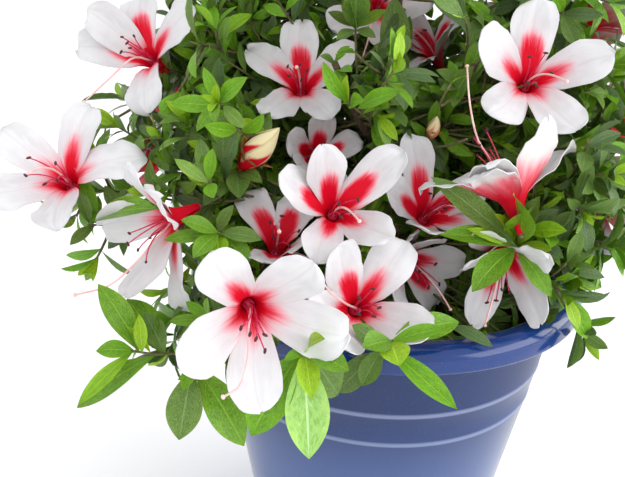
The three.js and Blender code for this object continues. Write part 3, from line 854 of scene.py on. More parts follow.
def speckled_material(name, roughness, dark, light, scale, bump=0.3, depth=0.3):
    n = Nodes(name, roughness)
    spots = n.noise(n.position(), scale / MM, 4.0, 0.6)
    n.bump(spots, bump, depth)
    return n.colour(n.blend(spots.smooth(0.35, 0.65), dark, light))


BARK_COLOURS = ((0.3, (0.04, 0.024, 0.014)), (0.5, (0.11, 0.07, 0.042)), (0.7, (0.21, 0.15, 0.1)))


def bark_material():
    """Grey-brown bark in flaking plates that run along the wood."""
    n = Nodes("bark", 0.85)
    at = n.position()
    plates = n.noise(n.stretch(at, (1, 1, 0.35)), 0.35 / MM, 5.0, 0.65)
    grain = n.noise(n.stretch(at, (1, 1, 0.2)), 1.6 / MM, 3.0)
    n.bump(grain * 0.4 + plates, 0.7, 0.7)
    return n.colour(n.ramp(plates, BARK_COLOURS))


POT_BLUES = ((0.003, 0.02, 0.1), (0.005, 0.026, 0.122))
# The painted light towards the pot's foot, and the heights in millimetres over which it comes in, from none
# to full
POT_FOOT_PAINTED_LIGHT = (0.08, 0.148, 0.385)
POT_PAINTED_LIGHT_FADE = (132, 70)
# The painted highlight along the ridges, and at what distances from a crest in millimetres it is none and
# full
RIDGE_HIGHLIGHT_BLUE = (0.3, 0.36, 0.56)
RIDGE_HIGHLIGHT_SPAN = (1.6, 0.3)
COLLAR_BLUE = (0.006, 0.035, 0.18)
POT_DUST = (0.3, 0.36, 0.5)
POT_ROUGHNESS = 0.36
COLLAR_ROUGHNESS = 0.13


def pot_material():
    """Smooth blue plastic, a little cloudy and dusty, with painted light towards its foot and painted
    highlights on its ridges.
    """
    n = Nodes("pot_plastic", POT_ROUGHNESS, Specular_IOR_Level=0.5, Sheen_Weight=0.62, Sheen_Roughness=0.2)
    at = n.position()
    cloud, grain = n.noise(at, 0.02 / MM, 3.0), n.noise(at, 1.5 / MM, 3.0)
    n.bump(grain, 0.05, 0.2)
    height = n.value("ShaderNodeSeparateXYZ", {0: at}, 2) * (1 / MM)
    blue = n.blend(cloud.smooth(0.3, 0.7), *POT_BLUES)
    # Painted light: the body grows paler towards its foot, as if lit by the floor's bounce.
    blue = n.blend(height.smooth(*POT_PAINTED_LIGHT_FADE) * 0.6, blue, POT_FOOT_PAINTED_LIGHT)
    # Painted highlight: a pale band along the crest of each ridge.
    for ridge in RIDGE_HEIGHTS:
        off = (height - (ridge + 0.2)).math("ABSOLUTE")
        blue = n.blend(off.smooth(*RIDGE_HIGHLIGHT_SPAN) * 0.55, blue, RIDGE_HIGHLIGHT_BLUE)
    collar = height.smooth(COLLAR_FOOT - 1, COLLAR_FOOT + 1)
    blue = n.blend(collar, blue, COLLAR_BLUE)
    roughness = collar * (COLLAR_ROUGHNESS - POT_ROUGHNESS) + POT_ROUGHNESS + grain.smooth(0.4, 0.7) * 0.04
    n.put(n.shader.inputs["Roughness"], roughness)
    return n.colour(n.blend(grain.smooth(0.56, 0.75) * 0.08, blue, POT_DUST))


# ---------- The pot and its soil

FOOT_ROUNDING = 2
COLLAR_EDGE = 1.4
SHOULDER_ROUNDING = 6
LIP_ROUNDING = 1.8
POT_CREASE = 38
SOIL_RINGS, SOIL_SIDES = 46, 120
SOIL_DEPTH = 8
SOIL_LOOKS = (0.95, (0.012, 0.008, 0.005), (0.07, 0.045, 0.028), 0.5, 0.8, 1.0)
# How fine each size of crumb is, and how high
CRUMBS = ((0.16, 1.6), (0.45, 1.4), (1.1, 0.7))


def body_radius(height):
    top = RIM_RADIUS - COLLAR_OVERHANG
    return BASE_RADIUS + (top - BASE_RADIUS) * (height / COLLAR_FOOT)


def arc(centre, radius, start, end, count=5):
    angles = [math.radians(start + (end - start) * i / count) for i in range(count + 1)]
    return [(centre[0] + radius * math.cos(a), centre[1] + radius * math.sin(a)) for a in angles]


def ridge_profile(height, count=6):
    swell = []
    for i in range(count + 1):
        share = i / count
        z = height + (share - 0.5) * RIDGE_WIDTH
        swell.append((body_radius(z) + RIDGE_PROUD * math.sin(math.pi * share), z))
    return swell


def make_pot():
    body = body_radius(COLLAR_FOOT)
    inside = body - POT_WALL
    shoulder = (RIM_RADIUS - SHOULDER_ROUNDING, POT_HEIGHT - SHOULDER_ROUNDING)
    profile = [
        (0.5, 0),
        *arc((BASE_RADIUS - FOOT_ROUNDING, FOOT_ROUNDING), FOOT_ROUNDING, -90, -10),
        *[point for height in RIDGE_HEIGHTS for point in ridge_profile(height)],
        (body - 0.05, COLLAR_FOOT - 1),
        (body, COLLAR_FOOT),
        *arc((RIM_RADIUS - COLLAR_EDGE, COLLAR_FOOT + COLLAR_EDGE), COLLAR_EDGE, -90, 0),
        *arc(shoulder, SHOULDER_ROUNDING, 0, 95, 8),
        *arc((RIM_RADIUS - LIP_WIDTH + 0.5, POT_HEIGHT - 3), LIP_ROUNDING, 80, 175),
        (inside, POT_HEIGHT - 8),
        (inside, COLLAR_FOOT),
        (body_radius(POT_FLOOR) - POT_WALL, POT_FLOOR),
        (0.5, POT_FLOOR),
    ]
    sheets = Sheets()
    points = [(r * math.cos(a), r * math.sin(a), z) for r, z in profile for a in round_angles(POT_SIDES)]
    sheets.add(points, ring_faces(len(profile), POT_SIDES) + end_faces(len(profile), POT_SIDES))
    piece = sheets.build("pot_shell", pot_material(), "pot")
    piece.data.set_sharp_from_angle(angle=math.radians(POT_CREASE))
    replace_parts(piece, "pot")


def make_soil():
    """Crumbly potting soil that lies calm along the pot's wall."""
    edge = body_radius(SOIL_TOP) - POT_WALL - GAP - 0.3
    points = [(0, 0, SOIL_TOP)]
    for i in range(1, SOIL_RINGS + 1):
        r = edge * i / SOIL_RINGS
        for a in round_angles(SOIL_SIDES):
            at = Vector((r * math.cos(a), r * math.sin(a), 0))
            crumbs = sum(noise.noise(at * fine) * high for fine, high in CRUMBS)
            calm = min(1.0, (edge - r) / 4)
            points.append((at.x, at.y, SOIL_TOP - 0.6 + crumbs * calm))
    points += [(x, y, SOIL_TOP - SOIL_DEPTH) for x, y, _ in points[-SOIL_SIDES:]]
    faces = [[0, 1 + k, 1 + (k + 1) % SOIL_SIDES] for k in range(SOIL_SIDES)]
    faces += [[a, d, c, b] for a, b, c, d in ring_faces(SOIL_RINGS + 1, SOIL_SIDES, 1)]
    faces.append(list(range(len(points) - SOIL_SIDES, len(points)))[::-1])
    sheets = Sheets()
    sheets.add(points, faces)
    piece = sheets.build("soil_surface", speckled_material("potting_soil", *SOIL_LOOKS), "soil")
    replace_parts(piece, "soil")


# ---------- The plant's framework

BOUGH_SAG = 0.18
STEM_SPAN = (0.2, 0.75)
TWIG_BEND = 0.4
SPIRAL_SWAY = 0.7
STEEP = 0.75
BUD_SHARE = 0.12
TWIG_TESTS = 12
# How much of a bloom's reach a twig keeps out of
TWIG_CLEARS = 0.85
# Ways round for a twig's bend, tried one after the other
TWIG_DETOURS = (
    (0, 0, 0), (0, 0, -12), (0, 14, -6), (0, 10, -24), (0, 28, -10), (14, 12, -10), (-14, 12, -10),
    (0, 40, -20), (20, 40, -20), (-20, 40, -20), (0, 60, -20), (0, 80, -30), (0, 60, 20),
)


def crown_reach(direction):
    depth = DEPTH_IN_FRONT if direction.y < 0 else DEPTH_BEHIND
    height = DROP_BELOW if direction.z < 0 else RISE_ABOVE
    spans = (abs(direction.x) / HALF_WIDTH, abs(direction.y) / depth, abs(direction.z) / height)
    return sum(s**CROWN_SQUARENESS for s in spans) ** (-1 / CROWN_SQUARENESS)


def crown_point(around, height, share):
    centre = over_rim(CROWN_CENTRE)
    level = towards(around, 0)
    out = crown_reach(level) * share
    return Vector((centre.x + level.x * out, centre.y + level.y * out, POT_HEIGHT + height))


TRUNK = through([over_rim(at) for at in TRUNK_COURSE])


def trunk_at(height, steps=60):
    spaced = [TRUNK.at(i / steps) for i in range(steps + 1)]
    return min(spaced, key=lambda p: abs(p.z - POT_HEIGHT - height))


def make_masses():
    """The crown's masses, each with its bough from the trunk and the stem at the bough's end."""
    masses = []
    for i, name in enumerate(LOW_RING):
        hub = crown_point(360 / len(LOW_RING) * i, LOW_HEIGHTS[i % 2], LOW_SHARE)
        start = trunk_at(LOW_BOUGH_START + LOW_BOUGH_STEP * LOW_BOUGH_ORDER[i])
        masses.append(dict(name=name, hub=hub, start=start))
    for i, name in enumerate(UPPER_RING):
        hub = crown_point(360 / len(UPPER_RING) * (i + 0.5), UPPER_HEIGHT, UPPER_SHARE)
        masses.append(dict(name=name, hub=hub, start=trunk_at(UPPER_BOUGH_START + UPPER_BOUGH_STEP * i)))
    top = over_rim((CROWN_CENTRE[0], CROWN_CENTRE[1], TOP_HEIGHT))
    masses.append(dict(name="top", hub=top, start=TRUNK.at(1) + Vector((0, 0, GAP))))
    for mass in masses:
        start, hub = mass["start"], mass["hub"]
        across = hub - start
        bend = start + across * 0.5
        bend.z -= BOUGH_SAG * math.hypot(across.x, across.y)
        end = hub + (hub - bend).normalized() * (STEM_PAST_HUB - STEM_LENGTH)
        mass["bough"] = bent(start, bend, end)
        mass["stem"] = Path([end, end + mass["bough"].way(1) * STEM_LENGTH])
    return masses


def in_face_of(point, shoot):
    if shoot["kind"] != "bloom":
        return False
    ahead, beside = measured(point, shoot["centre"], shoot["facing"])
    return 0 <= ahead <= FACE_DEPTH and beside < FACE_ROOM


def settled(shoot, index):
    if "centre" in shoot:
        return dict(shoot, index=index)
    place = dict(centre=over_rim(shoot["at"]), facing=towards(shoot["around"], shoot["lift"]))
    return dict(shoot, index=index, placed=True, **place)


def spiral_shoot(i, taken):
    random = random_stream("spiral", i)
    height = 1 - (i + 0.5) / SPIRAL_SHOOTS * (1 - SPIRAL_BOTTOM)
    level = math.sqrt(1 - height * height)
    direction = Vector((level * math.cos(i * GOLDEN_ANGLE), level * math.sin(i * GOLDEN_ANGLE), height))
    centre = over_rim(CROWN_CENTRE) + direction * crown_reach(direction) * mix(SHOOT_DEPTHS, random())
    sway = [random() - 0.5, random() - 0.5, random() - 0.2]
    facing = (direction + Vector(sway) * SPIRAL_SWAY).normalized()
    turn, reach = random() * 360, mix(PETAL_REACH, random())
    in_front = centre.y < FRONT_EDGE and direction.z < STEEP

    def nearest(kind):
        return min((s["centre"] - centre).length for s in taken if kind is None or s["kind"] == kind)

    if any(in_face_of(centre, s) for s in taken):
        return None
    base = dict(centre=centre, facing=facing, home=None, placed=False)
    if not in_front and nearest("bloom") > BLOOM_SPACING and nearest(None) > SHOOT_SPACING:
        return dict(base, kind="bloom", turn=turn, reach=reach)
    if nearest(None) < SHOOT_SPACING:
        return None
    return dict(base, kind="bud" if random() < BUD_SHARE else "leafy")


def make_shoots(masses):
    """The shoots with their masses and twigs: the frame's, but for how a few of them face and how the
    twigs of those that would cross a shown bloom get round it."""
    shoots = [settled(shoot, i) for i, shoot in enumerate(PLACED_SHOOTS)]
    for i in range(SPIRAL_SHOOTS):
        shoot = spiral_shoot(i, shoots)
        if shoot:
            shoots.append(settled(shoot, len(shoots)))
    blooms = [s for s in shoots if s["kind"] == "bloom" and s["placed"]]
    for index, shoot in enumerate(shoots):
        if shoot.get("face"):
            shoot["facing"] = towards(*shoot["face"])
        if index in SPIRAL_LEAVES:
            shoot["shown"] = SPIRAL_LEAVES[index]
        if shoot["kind"] == "bud" and not shoot["placed"] and shoot["centre"].y < 0:
            shoot["kind"] = "leafy"
        back = TWIG_IN_TUBE - TUBE_LENGTH if shoot["kind"] == "bloom" else 0
        foot = shoot["foot"] = shoot["centre"] + shoot["facing"] * back
        if shoot["home"]:
            mass = next(m for m in masses if m["name"] == shoot["home"])
        else:
            mass = min(masses, key=lambda m: (m["hub"] - shoot["foot"]).length)
        stem, bough = mass["stem"], mass["bough"]
        start = stem.at(STEM_SPAN[0] + STEM_SPAN[1] * random_stream("twigs", shoot["index"])())

        def bend_from(begin, foot=foot, facing=shoot["facing"]):
            bend = foot - facing * TWIG_BEND * (foot - begin).length
            return Vector((bend.x, bend.y, max(bend.z, foot.z - TWIG_DIP)))

        if shoot.get("via"):
            shoot["twig"] = through([start, over_rim(shoot["via"]), foot])
        else:
            starts = [start, stem.at(0.1), stem.at(0.9), bough.at(0.8), bough.at(0.6)]
            others = [b for b in blooms if b is not shoot]
            shoot["twig"], _ = best_twig(starts, bend_from, foot, others)
        shoot["mass"] = mass
    return shoots


def crossings(path, blooms):
    """At how many places a twig passes before a bloom that the photograph shows, or meets the pot or soil."""
    places = [path.at(k / TWIG_TESTS) for k in range(1, TWIG_TESTS)]
    return sum(hides_bloom(place, blooms, TWIG_CLEARS) or not clear_of_pot(place) for place in places)


def best_twig(starts, bend_from, end, blooms):
    """The first course, of those from each start with each detour, that crosses the fewest blooms, and how
    often it crosses them."""
    ways = [bent(start, bend_from(start) + Vector(shift), end) for start in starts for shift in TWIG_DETOURS]
    counts = [crossings(way, blooms) for way in ways]
    return ways[counts.index(min(counts))], min(counts)


# ---------- Trunk and boughs

# How fine the bark's plates and flakes are across and along the wood
PLATES = (0.22, 0.4)
FLAKES = (0.6, 0.5)
TRUNK_RELIEF = 0.9
BOUGH_RELIEF = 0.4
FLARE_LOBES = 0.3
TRUNK_TAPER = 0.8
TRUNK_SIDES, TRUNK_STEPS = 64, 90
BOUGH_SIDES, BOUGH_STEPS = 16, 30
STEM_SIDES, STEM_STEPS = 9, 8
STEM_LOSS = 0.6


def bark_relief(at, depth):
    plates, flakes = [noise.noise(Vector((at.x, at.y, at.z * a)) * fine) for fine, a in (PLATES, FLAKES)]
    return depth * (plates + 0.5 * flakes)


def trunk_radius(t, angle):
    lobes = 1 + FLARE_LOBES * math.cos(FLARE_ROOTS * angle)
    spread = FLARE * math.exp(-t * TRUNK.length / FLARE_HEIGHT) * lobes
    plain = TRUNK_TIP + (TRUNK_FOOT - TRUNK_TIP) * (1 - t) ** TRUNK_TAPER + spread
    at = TRUNK.at(t) + Vector((math.cos(angle), math.sin(angle), 0)) * plain
    return plain + bark_relief(at, TRUNK_RELIEF)


def make_wood(masses):
    trunk, boughs = Sheets(), Sheets()
    add_tube(trunk, TRUNK, trunk_radius, TRUNK_SIDES, TRUNK_STEPS)
    for n, mass in enumerate(masses):

        def bough_radius(t, angle, n=n):
            at = Vector((3 * math.cos(angle) + 9 * n, 3 * math.sin(angle), 50 * t))
            return BOUGH_ROOT + (BOUGH_TIP - BOUGH_ROOT) * t + bark_relief(at, BOUGH_RELIEF)

        add_tube(boughs, mass["bough"], bough_radius, BOUGH_SIDES, BOUGH_STEPS)
    bark = bark_material()
    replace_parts(trunk.build("trunk_bark", bark, "bark"), "trunk")
    piece = boughs.build("boughs_bark", bark, "bark")
    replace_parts(piece, *["bough_" + mass["name"] for mass in masses])


# ---------- Room for leaves and twigs

POT_ROOM = 1.5
RIM_ROOM = 2
TUBE_ROOM = 9
TUBE_NARROWS = 0.4
FACE_ROOMS = {True: 46, False: 26}
LOBE_SHARE = 0.92
LOBE_RISE = 0.4
LOBE_ROOM = 4
SIGHT_ROOM = 2


def clear_of_pot(point):
    out = math.hypot(point.x, point.y)
    if point.z < SOIL_TOP + POT_ROOM and out < RIM_RADIUS:
        return False
    in_rim = RIM_RADIUS - LIP_WIDTH - RIM_ROOM < out < RIM_RADIUS + POT_ROOM
    return not (point.z < POT_HEIGHT + POT_ROOM and in_rim)


def meets_bloom(point, shoot):
    """Whether a point lies in a bloom's funnel, on its lobes or in the room before its face."""
    ahead, beside = measured(point, shoot["centre"], shoot["facing"])
    if ahead < 0:
        return ahead > -TUBE_LENGTH and beside < TUBE_ROOM + ahead * TUBE_NARROWS
    on_lobes = beside < LOBE_SHARE * shoot["reach"] and ahead > LOBE_RISE * beside - LOBE_ROOM
    return ahead < FACE_ROOMS[shoot["placed"]] and on_lobes


def hides_bloom(point, blooms, share=None):
    """Whether a point lies between the camera and the face of a bloom that the photograph shows."""
    sight = (point - CAMERA).normalized()
    for shoot in blooms:
        ahead, beside = measured(shoot["centre"], CAMERA, sight)
        before = (point - CAMERA).length < ahead + SIGHT_ROOM
        if before and beside < shoot["reach"] * (share or shoot["clear"]):
            return True
    return False


# ---------- Leaves

LEAF_SWELL, LEAF_POINT = 1.25, 0.95
LEAF_WIDEST = 0.222
LEAST_WIDTHS = (0.07, 0.02)


def leaf_grid(rows, columns):
    """The places along and across a leaf, and its half width at each as a share of the largest."""
    v, u = np.meshgrid(np.array(rows, dtype=float), np.linspace(-1, 1, columns), indexing="ij")
    half = v**LEAF_SWELL * (1 - v) ** LEAF_POINT / LEAF_WIDEST
    return v, u, np.maximum(half, np.where(v < 0.5, *LEAST_WIDTHS)), grid_faces(len(rows), columns)


PLAIN_LEAF = leaf_grid((0, 0.07, 0.2, 0.36, 0.52, 0.67, 0.81, 0.92, 1), 5)
SHOWN_LEAF = leaf_grid([0, 0.04, *np.linspace(0.1, 0.85, 14), 0.9, 0.94, 0.975, 1], 9)
LEAF_WIDTHS = (0.3, 0.43)
# Tints that stand together, and those of young leaves
GREENS = ((0, 1, 2, 9), (1, 2, 3, 11), (2, 3, 5, 10), (0, 4, 9, 1), (1, 3, 4, 11))
LIMES = (6, 7)
# Of each whorl: how many leaves, how long they are, and how far they lean out in degrees
BLOOM_WHORL = (7, (14, 26), (42, 84))
SHOOT_WHORL = (9, (14, 26), (42, 84))
SIDE_WHORL = (7, (12, 22), (35, 88))
STEM_WHORL = (12, (14, 24), (25, 85))
LOW_WHORL = (8, (18, 28), (45, 92))
SEEN_WHORL = (8, (10, 18), (45, 92))
WHORL_STEP, SIDE_WHORL_STEP, STEM_WHORL_STEP = 1.2, 1.0, 2.4
SHOOT_LEAVES = (11, 21)
SPRAY_LEAVES = (12, 20)
LEAF_STEP = 3.4
# Where along a limb single leaves start, and where they and the finer twigs end
TWIG_LEAVES_START, SPRAY_LEAVES_START = 0.15, 0.4
LEAVES_END, TWIGS_END = 0.9, 0.94
SHOWN_LEAF_STEP = 1.1
# Where along a leaf its room is tested, and how near a bloom is heeded by a leaf, and by a finer twig
LEAF_TESTS = (0.3, 0.65, 1)
LEAF_HEEDS, TWIG_HEEDS = 80, 90
TWIG_RADIUS = thinning(0.7, 0.25)
SIDE_TWIG_RADIUS = thinning(0.7, 0.2)
SIDE_TWIG_SAG = 1.5
# Of the finer twigs on each kind of limb: where they start, how many they are, and how long
FRONT_SIDE_TWIGS = (0.15, 1, (10, 24))
SHOOT_SIDE_TWIGS = (0.15, 7, (10, 24))
BOUGH_SIDE_TWIGS = (0.3, 14, (14, 38))
STEM_SIDE_TWIGS = (0.1, 4, (14, 26))
TWIG_WAYS = (GOLDEN_TURN, 90, 42, 30)
LEAF_WAYS = (GOLDEN_TURN, 40, 45, 30)
# The small leaves in the middle of a whorl, and how often sprays and side twigs have them
YOUNG_LEAVES = 3
YOUNG_WAYS = (120, 60, 18, 30)
YOUNG_LENGTHS = (7, 15)
SPRAY_IS_YOUNG, SIDE_IS_YOUNG = 0.5, 0.35
FRONT_OF_CROWN = -90
MOST_CROSSINGS = 1


def pick(choices, random):
    return choices[int(random() * len(choices))]


def add_leaf(sheets, root, forward, up, length, tint, random, width=None):
    """A leaf whose tip is length away from its root, folded along the midrib and bowed. One with a width
    of its own stands out in the photograph, and is finer."""
    side = forward.cross(up).normalized()
    normal = side.cross(forward)
    v, u, half, faces = SHOWN_LEAF if width else PLAIN_LEAF
    bow, fold, wave = 0.03 + 0.08 * random(), 0.1 + 0.3 * random(), 0.12 * (random() - 0.5)
    half = half * (width or mix(LEAF_WIDTHS, random())) * length / 2
    sweep = 0.1 * length * (random() - 0.5)
    lift = 4 * bow * length * v * (1 - v) + fold * half * np.abs(u) ** 1.4 + wave * length * u * v * (1 - v)
    across = half * u + sweep * v * (1 - v)
    points = laid_out(root, (length * v, forward), (across, side), (lift, normal))
    row, column = divmod(tint, LEAF_TILES[0])
    places = in_tile((u + 1) / 2, v, column, row, *LEAF_TILES)
    sheets.add(points.reshape(-1, 3), faces, places.reshape(-1, 2))


class Foliage:
    """The leaves and fine twigs, grown shoot by shoot."""

    def __init__(self, shoots):
        self.zones = {zone: Sheets() for zone in ("front", "sides", "back", "upper", "top")}
        self.twigs = Sheets()
        self.blooms = [s for s in shoots if s["kind"] == "bloom"]
        self.shown = [s for s in self.blooms if s["placed"]]
        for x, y, depth, radius in KEPT_CLEAR:
            self.shown.append(dict(centre=seen_at((x, y), depth), reach=radius, clear=1))

    def enter(self, mass):
        name = mass["name"]
        if name in LOW_RING:
            zone = next((zone for zone in ("front", "back") if zone in name), "sides")
        else:
            zone = "upper" if "front" in name else "top"
        self.leaves = self.zones[zone]

    def free(self, points, middle, heeded=math.inf):
        """Whether points keep out of the pot, of the blooms that stand near a middle, and out of the sight
        of the shown ones."""
        near = [b for b in self.blooms if (b["centre"] - middle).length < heeded]
        return not any(
            not clear_of_pot(p) or any(meets_bloom(p, b) for b in near) or hides_bloom(p, self.shown)
            for p in points
        )

    def leaf(self, root, forward, up, length, tint, random):
        if self.free([root + forward * length * t for t in LEAF_TESTS], root, LEAF_HEEDS):
            add_leaf(self.leaves, root, forward, up, length, tint, random)

    def whorl(self, path, end, count, lengths, leans, tints, random, step=WHORL_STEP):
        """Leaves round a twig's end, from the tip down, wider apart the lower they stand."""
        start = random() * 360
        for k in range(count):
            t = max(0.3, end - step * k / path.length)
            axis = path.way(t)
            out = radial(axis, start + GOLDEN_TURN * k + 25 * random())
            forward = leaning(axis, out, mix(leans, min(1, (k + random()) / count)))
            length = mix(lengths, 0.3 + 0.7 * random()) * (0.8 + 0.2 * k / count)
            self.leaf(path.at(t), forward, axis, length, pick(tints, random), random)

    def young(self, path, random):
        """Small pale leaves that stand up in the middle of a whorl."""
        for k in range(YOUNG_LEAVES):
            axis = path.way(1)
            forward = strayed(axis, k, YOUNG_WAYS, random)
            length = mix(YOUNG_LENGTHS, random())
            self.leaf(path.at(1), forward, axis, length, pick(LIMES, random), random)

    def shown_leaves(self, shoot, random):
        """The leaves that stand out in the photograph, each from its place on the twig."""
        path = shoot["twig"]
        for k, (x, y, nearer, width, tint, *down) in enumerate(shoot["shown"]):
            root = path.at(1 - min(0.5, (down[0] if down else SHOWN_LEAF_STEP * k) / path.length))
            self.shown_leaf(root, (x, y), nearer, width, tint, random)

    def shown_leaf(self, root, pixel, nearer, width, tint, random):
        """A leaf from a root to where its tip shows."""
        forward = seen_at(pixel, depth_of(root) - nearer) - root
        up = (CAMERA - root).normalized() + Vector((0, 0, 0.7))
        add_leaf(self.leaves, root, forward.normalized(), up, forward.length, tint, random, width)

    def grow(self, shoot):
        """A shoot's twig with its leaves. A loose leafy shoot that would hide a shown bloom isn't grown."""
        random = random_stream("leaves", shoot["index"])
        path = shoot["twig"]
        if not shoot["placed"] and shoot["kind"] == "leafy" and hides_bloom(shoot["foot"], self.shown):
            return
        self.enter(shoot["mass"])
        tints = pick(GREENS, random)
        flowering = shoot["kind"] == "bloom"
        end = 1 - (TWIG_IN_TUBE + 3) / path.length if flowering else 1
        drawn = path.part(1 - (TWIG_IN_TUBE + 0.5) / path.length) if flowering else path
        add_tube(self.twigs, drawn, TWIG_RADIUS, 7, 12)
        if shoot.get("shown"):
            self.shown_leaves(shoot, random)
        else:
            self.whorl(path, end, *(BLOOM_WHORL if flowering else SHOOT_WHORL), tints, random)
            if not flowering:
                self.young(path, random)
        at_front = shoot["placed"] and not flowering and shoot["centre"].y < FRONT_OF_CROWN
        self.branch(path, *(FRONT_SIDE_TWIGS if at_front else SHOOT_SIDE_TWIGS), random)
        if not at_front:
            self.clothe(path, SHOOT_LEAVES, tints, random)

    def clothe(self, path, lengths, tints, random, start=TWIG_LEAVES_START):
        """Single leaves along a twig."""
        for k in range(int(path.length * (LEAVES_END - start) / LEAF_STEP)):
            t = start + LEAF_STEP * (k + random()) / path.length
            axis = path.way(t)
            forward = strayed(axis, k, LEAF_WAYS, random)
            self.leaf(path.at(t), forward, axis, mix(lengths, random()), pick(tints, random), random)

    def twig_to(self, end, masses):
        """A long twig from one of the boughs, unless each would cross too much."""
        starts = [mass["bough"].at(share) for mass in masses for share in (0.8, 0.5)]
        twig, crossed = best_twig(starts, lambda start: (start + end) / 2, end, self.shown)
        if crossed > MOST_CROSSINGS:
            return None
        add_tube(self.twigs, twig, TWIG_RADIUS, 6, 8)
        return twig

    def spray(self, end, masses, whorl, greens, random):
        """A long twig from the nearest bough that serves, leafy at its end and along its outer half."""
        self.enter(masses[0])
        twig = self.twig_to(end, masses)
        if twig:
            self.whorl(twig, 1, *whorl, GREENS[greens], random)
            self.clothe(twig, SPRAY_LEAVES, GREENS[greens], random, SPRAY_LEAVES_START)
            if random() < SPRAY_IS_YOUNG:
                self.young(twig, random)
        return twig

    def branch(self, path, start, count, lengths, random):
        """Finer twigs along a limb, each ending in a small whorl of its own."""
        for k in range(count):
            t = start + (TWIGS_END - start) * (k + random()) / count
            axis, root = path.way(t), path.at(t)
            forward = strayed(axis, k, TWIG_WAYS, random)
            end = root + forward * mix(lengths, random())
            bend = (root + end) / 2 - Vector((0, 0, SIDE_TWIG_SAG))
            if not self.free((bend, end), end, TWIG_HEEDS):
                continue
            side = bent(root, bend, end, 6)
            add_tube(self.twigs, side, SIDE_TWIG_RADIUS, 5, 4)
            self.whorl(side, 1, *SIDE_WHORL, pick(GREENS, random), random, SIDE_WHORL_STEP)
            if random() < SIDE_IS_YOUNG:
                self.young(side, random)


# ---------- Blooms and buds

PETAL_STEPS = (
    0, 0.1, 0.2, 0.28, 0.34, 0.4, 0.46, 0.52, 0.58, 0.64, 0.7, 0.76, 0.82, 0.87, 0.91, 0.945, 0.975, 1,
)
PETAL_COLUMNS = np.linspace(-1, 1, 11)
PETAL_SHEET = 0.35
# The funnel: shares of a lobe's length, with the radius and the height there in millimetres, and then the
# open blade, with them as shares of the bloom's reach
MOUTH = ((0, 1.3, -15), (0.12, 2.0, -10), (0.25, 3.3, -4.5), (0.36, 5.8, 0.3))
BLADE = ((0.5, 0.45, 0.2), (0.7, 0.66, 0.33), (0.88, 0.83, 0.42), (1, 0.9, 0.44))
BLADE_START = 0.36
# Half widths along a lobe: where, then a rounded and a pointed lobe's, as shares of the bloom's reach
LOBE_STEPS = (0.3, 0.4, 0.5, 0.62, 0.74, 0.84, 0.92, 0.97, 1)
ROUND_LOBE = (0.14, 0.2, 0.26, 0.3, 0.295, 0.25, 0.185, 0.115, 0.03)
POINTED_LOBE = (0.14, 0.2, 0.25, 0.265, 0.235, 0.175, 0.11, 0.06, 0.012)
SHOWN_TIP_RISE = 0.35
RISE_SPAN = (-0.1, 0.85)
SPREAD_SPAN = (0.45, 1.12)
# A lobe's relief: the heights of the coarse and fine waves of its ruffled rim and of its dimples, and of
# the crease along its middle and its cup, and then, as shares of the bloom's reach, its bend to the side,
# how far its tip curls back, and its bow
RUFFLE, FINE_RUFFLE, DIMPLES = 1.4, 0.5, 0.3
CREASE, CREASE_WIDTH, CUP = 0.75, 0.18, 3.2
SIDE_BEND, CURL, BOW = 0.1, 0.09, 0.06
# Its half width is at most this share of the funnel's radius there
MOST_HALF = 0.74
# Where it goes over from the round funnel to the flat blade
FLATTENS = (0.28, 0.55)
FILAMENT_RADIUS = thinning(0.38, 0.14)
ANTHER_RADIUS, ANTHER_STRETCH = 0.55, 2.0
# How far the photograph's anthers stand before the throat, and how far ahead, out and down the others may
ANTHER_AHEAD = 14
ANTHER_SPANS = ((11, 19), (3, 8), (2, 6))
# The stoppers that close the tube from within: how deep, and how wide
STOPPERS = ((TUBE_LENGTH - 1, 1.6), (7.5, 2.6))
PISTIL_RADIUS = thinning(0.48, 0.1)
PISTIL_HEIGHTS = (11, 17, 21, 22)
PISTIL_LENGTHS, PISTIL_LEANS = (16, 24), (30, 55)
STIGMA_RADIUS = 0.85
BUD_LENGTH = 25
BUD_WIDTH = 12.5
BUD_TURNS = 0.22
BUD_LAP = 0.36
BUD_BRACTS = 6
BUD_ROWS, BUD_COLUMNS = 14, 8
BUD_SUNK = 2
BRACT_LENGTHS = (11, 16)
SPENT_BUD_SIZE, SPENT_BUD_WAY = 0.5, (10, 60)
CALYX_RADIUS = 1.8


def lobe_tips(shoot, random):
    """Where the five lobes end. The photograph's tips take the places of the lobes nearest to them."""
    axis, centre, reach = shoot["facing"], shoot["centre"], shoot["reach"]
    tips = []
    for k in range(PETALS):
        out = radial(axis, shoot["turn"] + 360 / PETALS * k + 12 * (random() - 0.5))
        spread = BLADE[-1][1] + 0.06 * (random() - 0.5)
        rise = BLADE[-1][2] - 0.12 * random()
        tips.append(centre + (out * spread + axis * rise) * reach)
    pairs = []
    for pixel in shoot.get("tips", ()):
        for k, tip in enumerate(tips):
            pairs.append(((seen_at(pixel, depth_of(tip)) - tip).length, pixel, k))
    used = set()
    for _, pixel, k in sorted(pairs):
        if pixel not in used and k not in used:
            used |= {pixel, k}
            tips[k] = reached(pixel, centre, reach, axis, SHOWN_TIP_RISE * reach)
    return tips


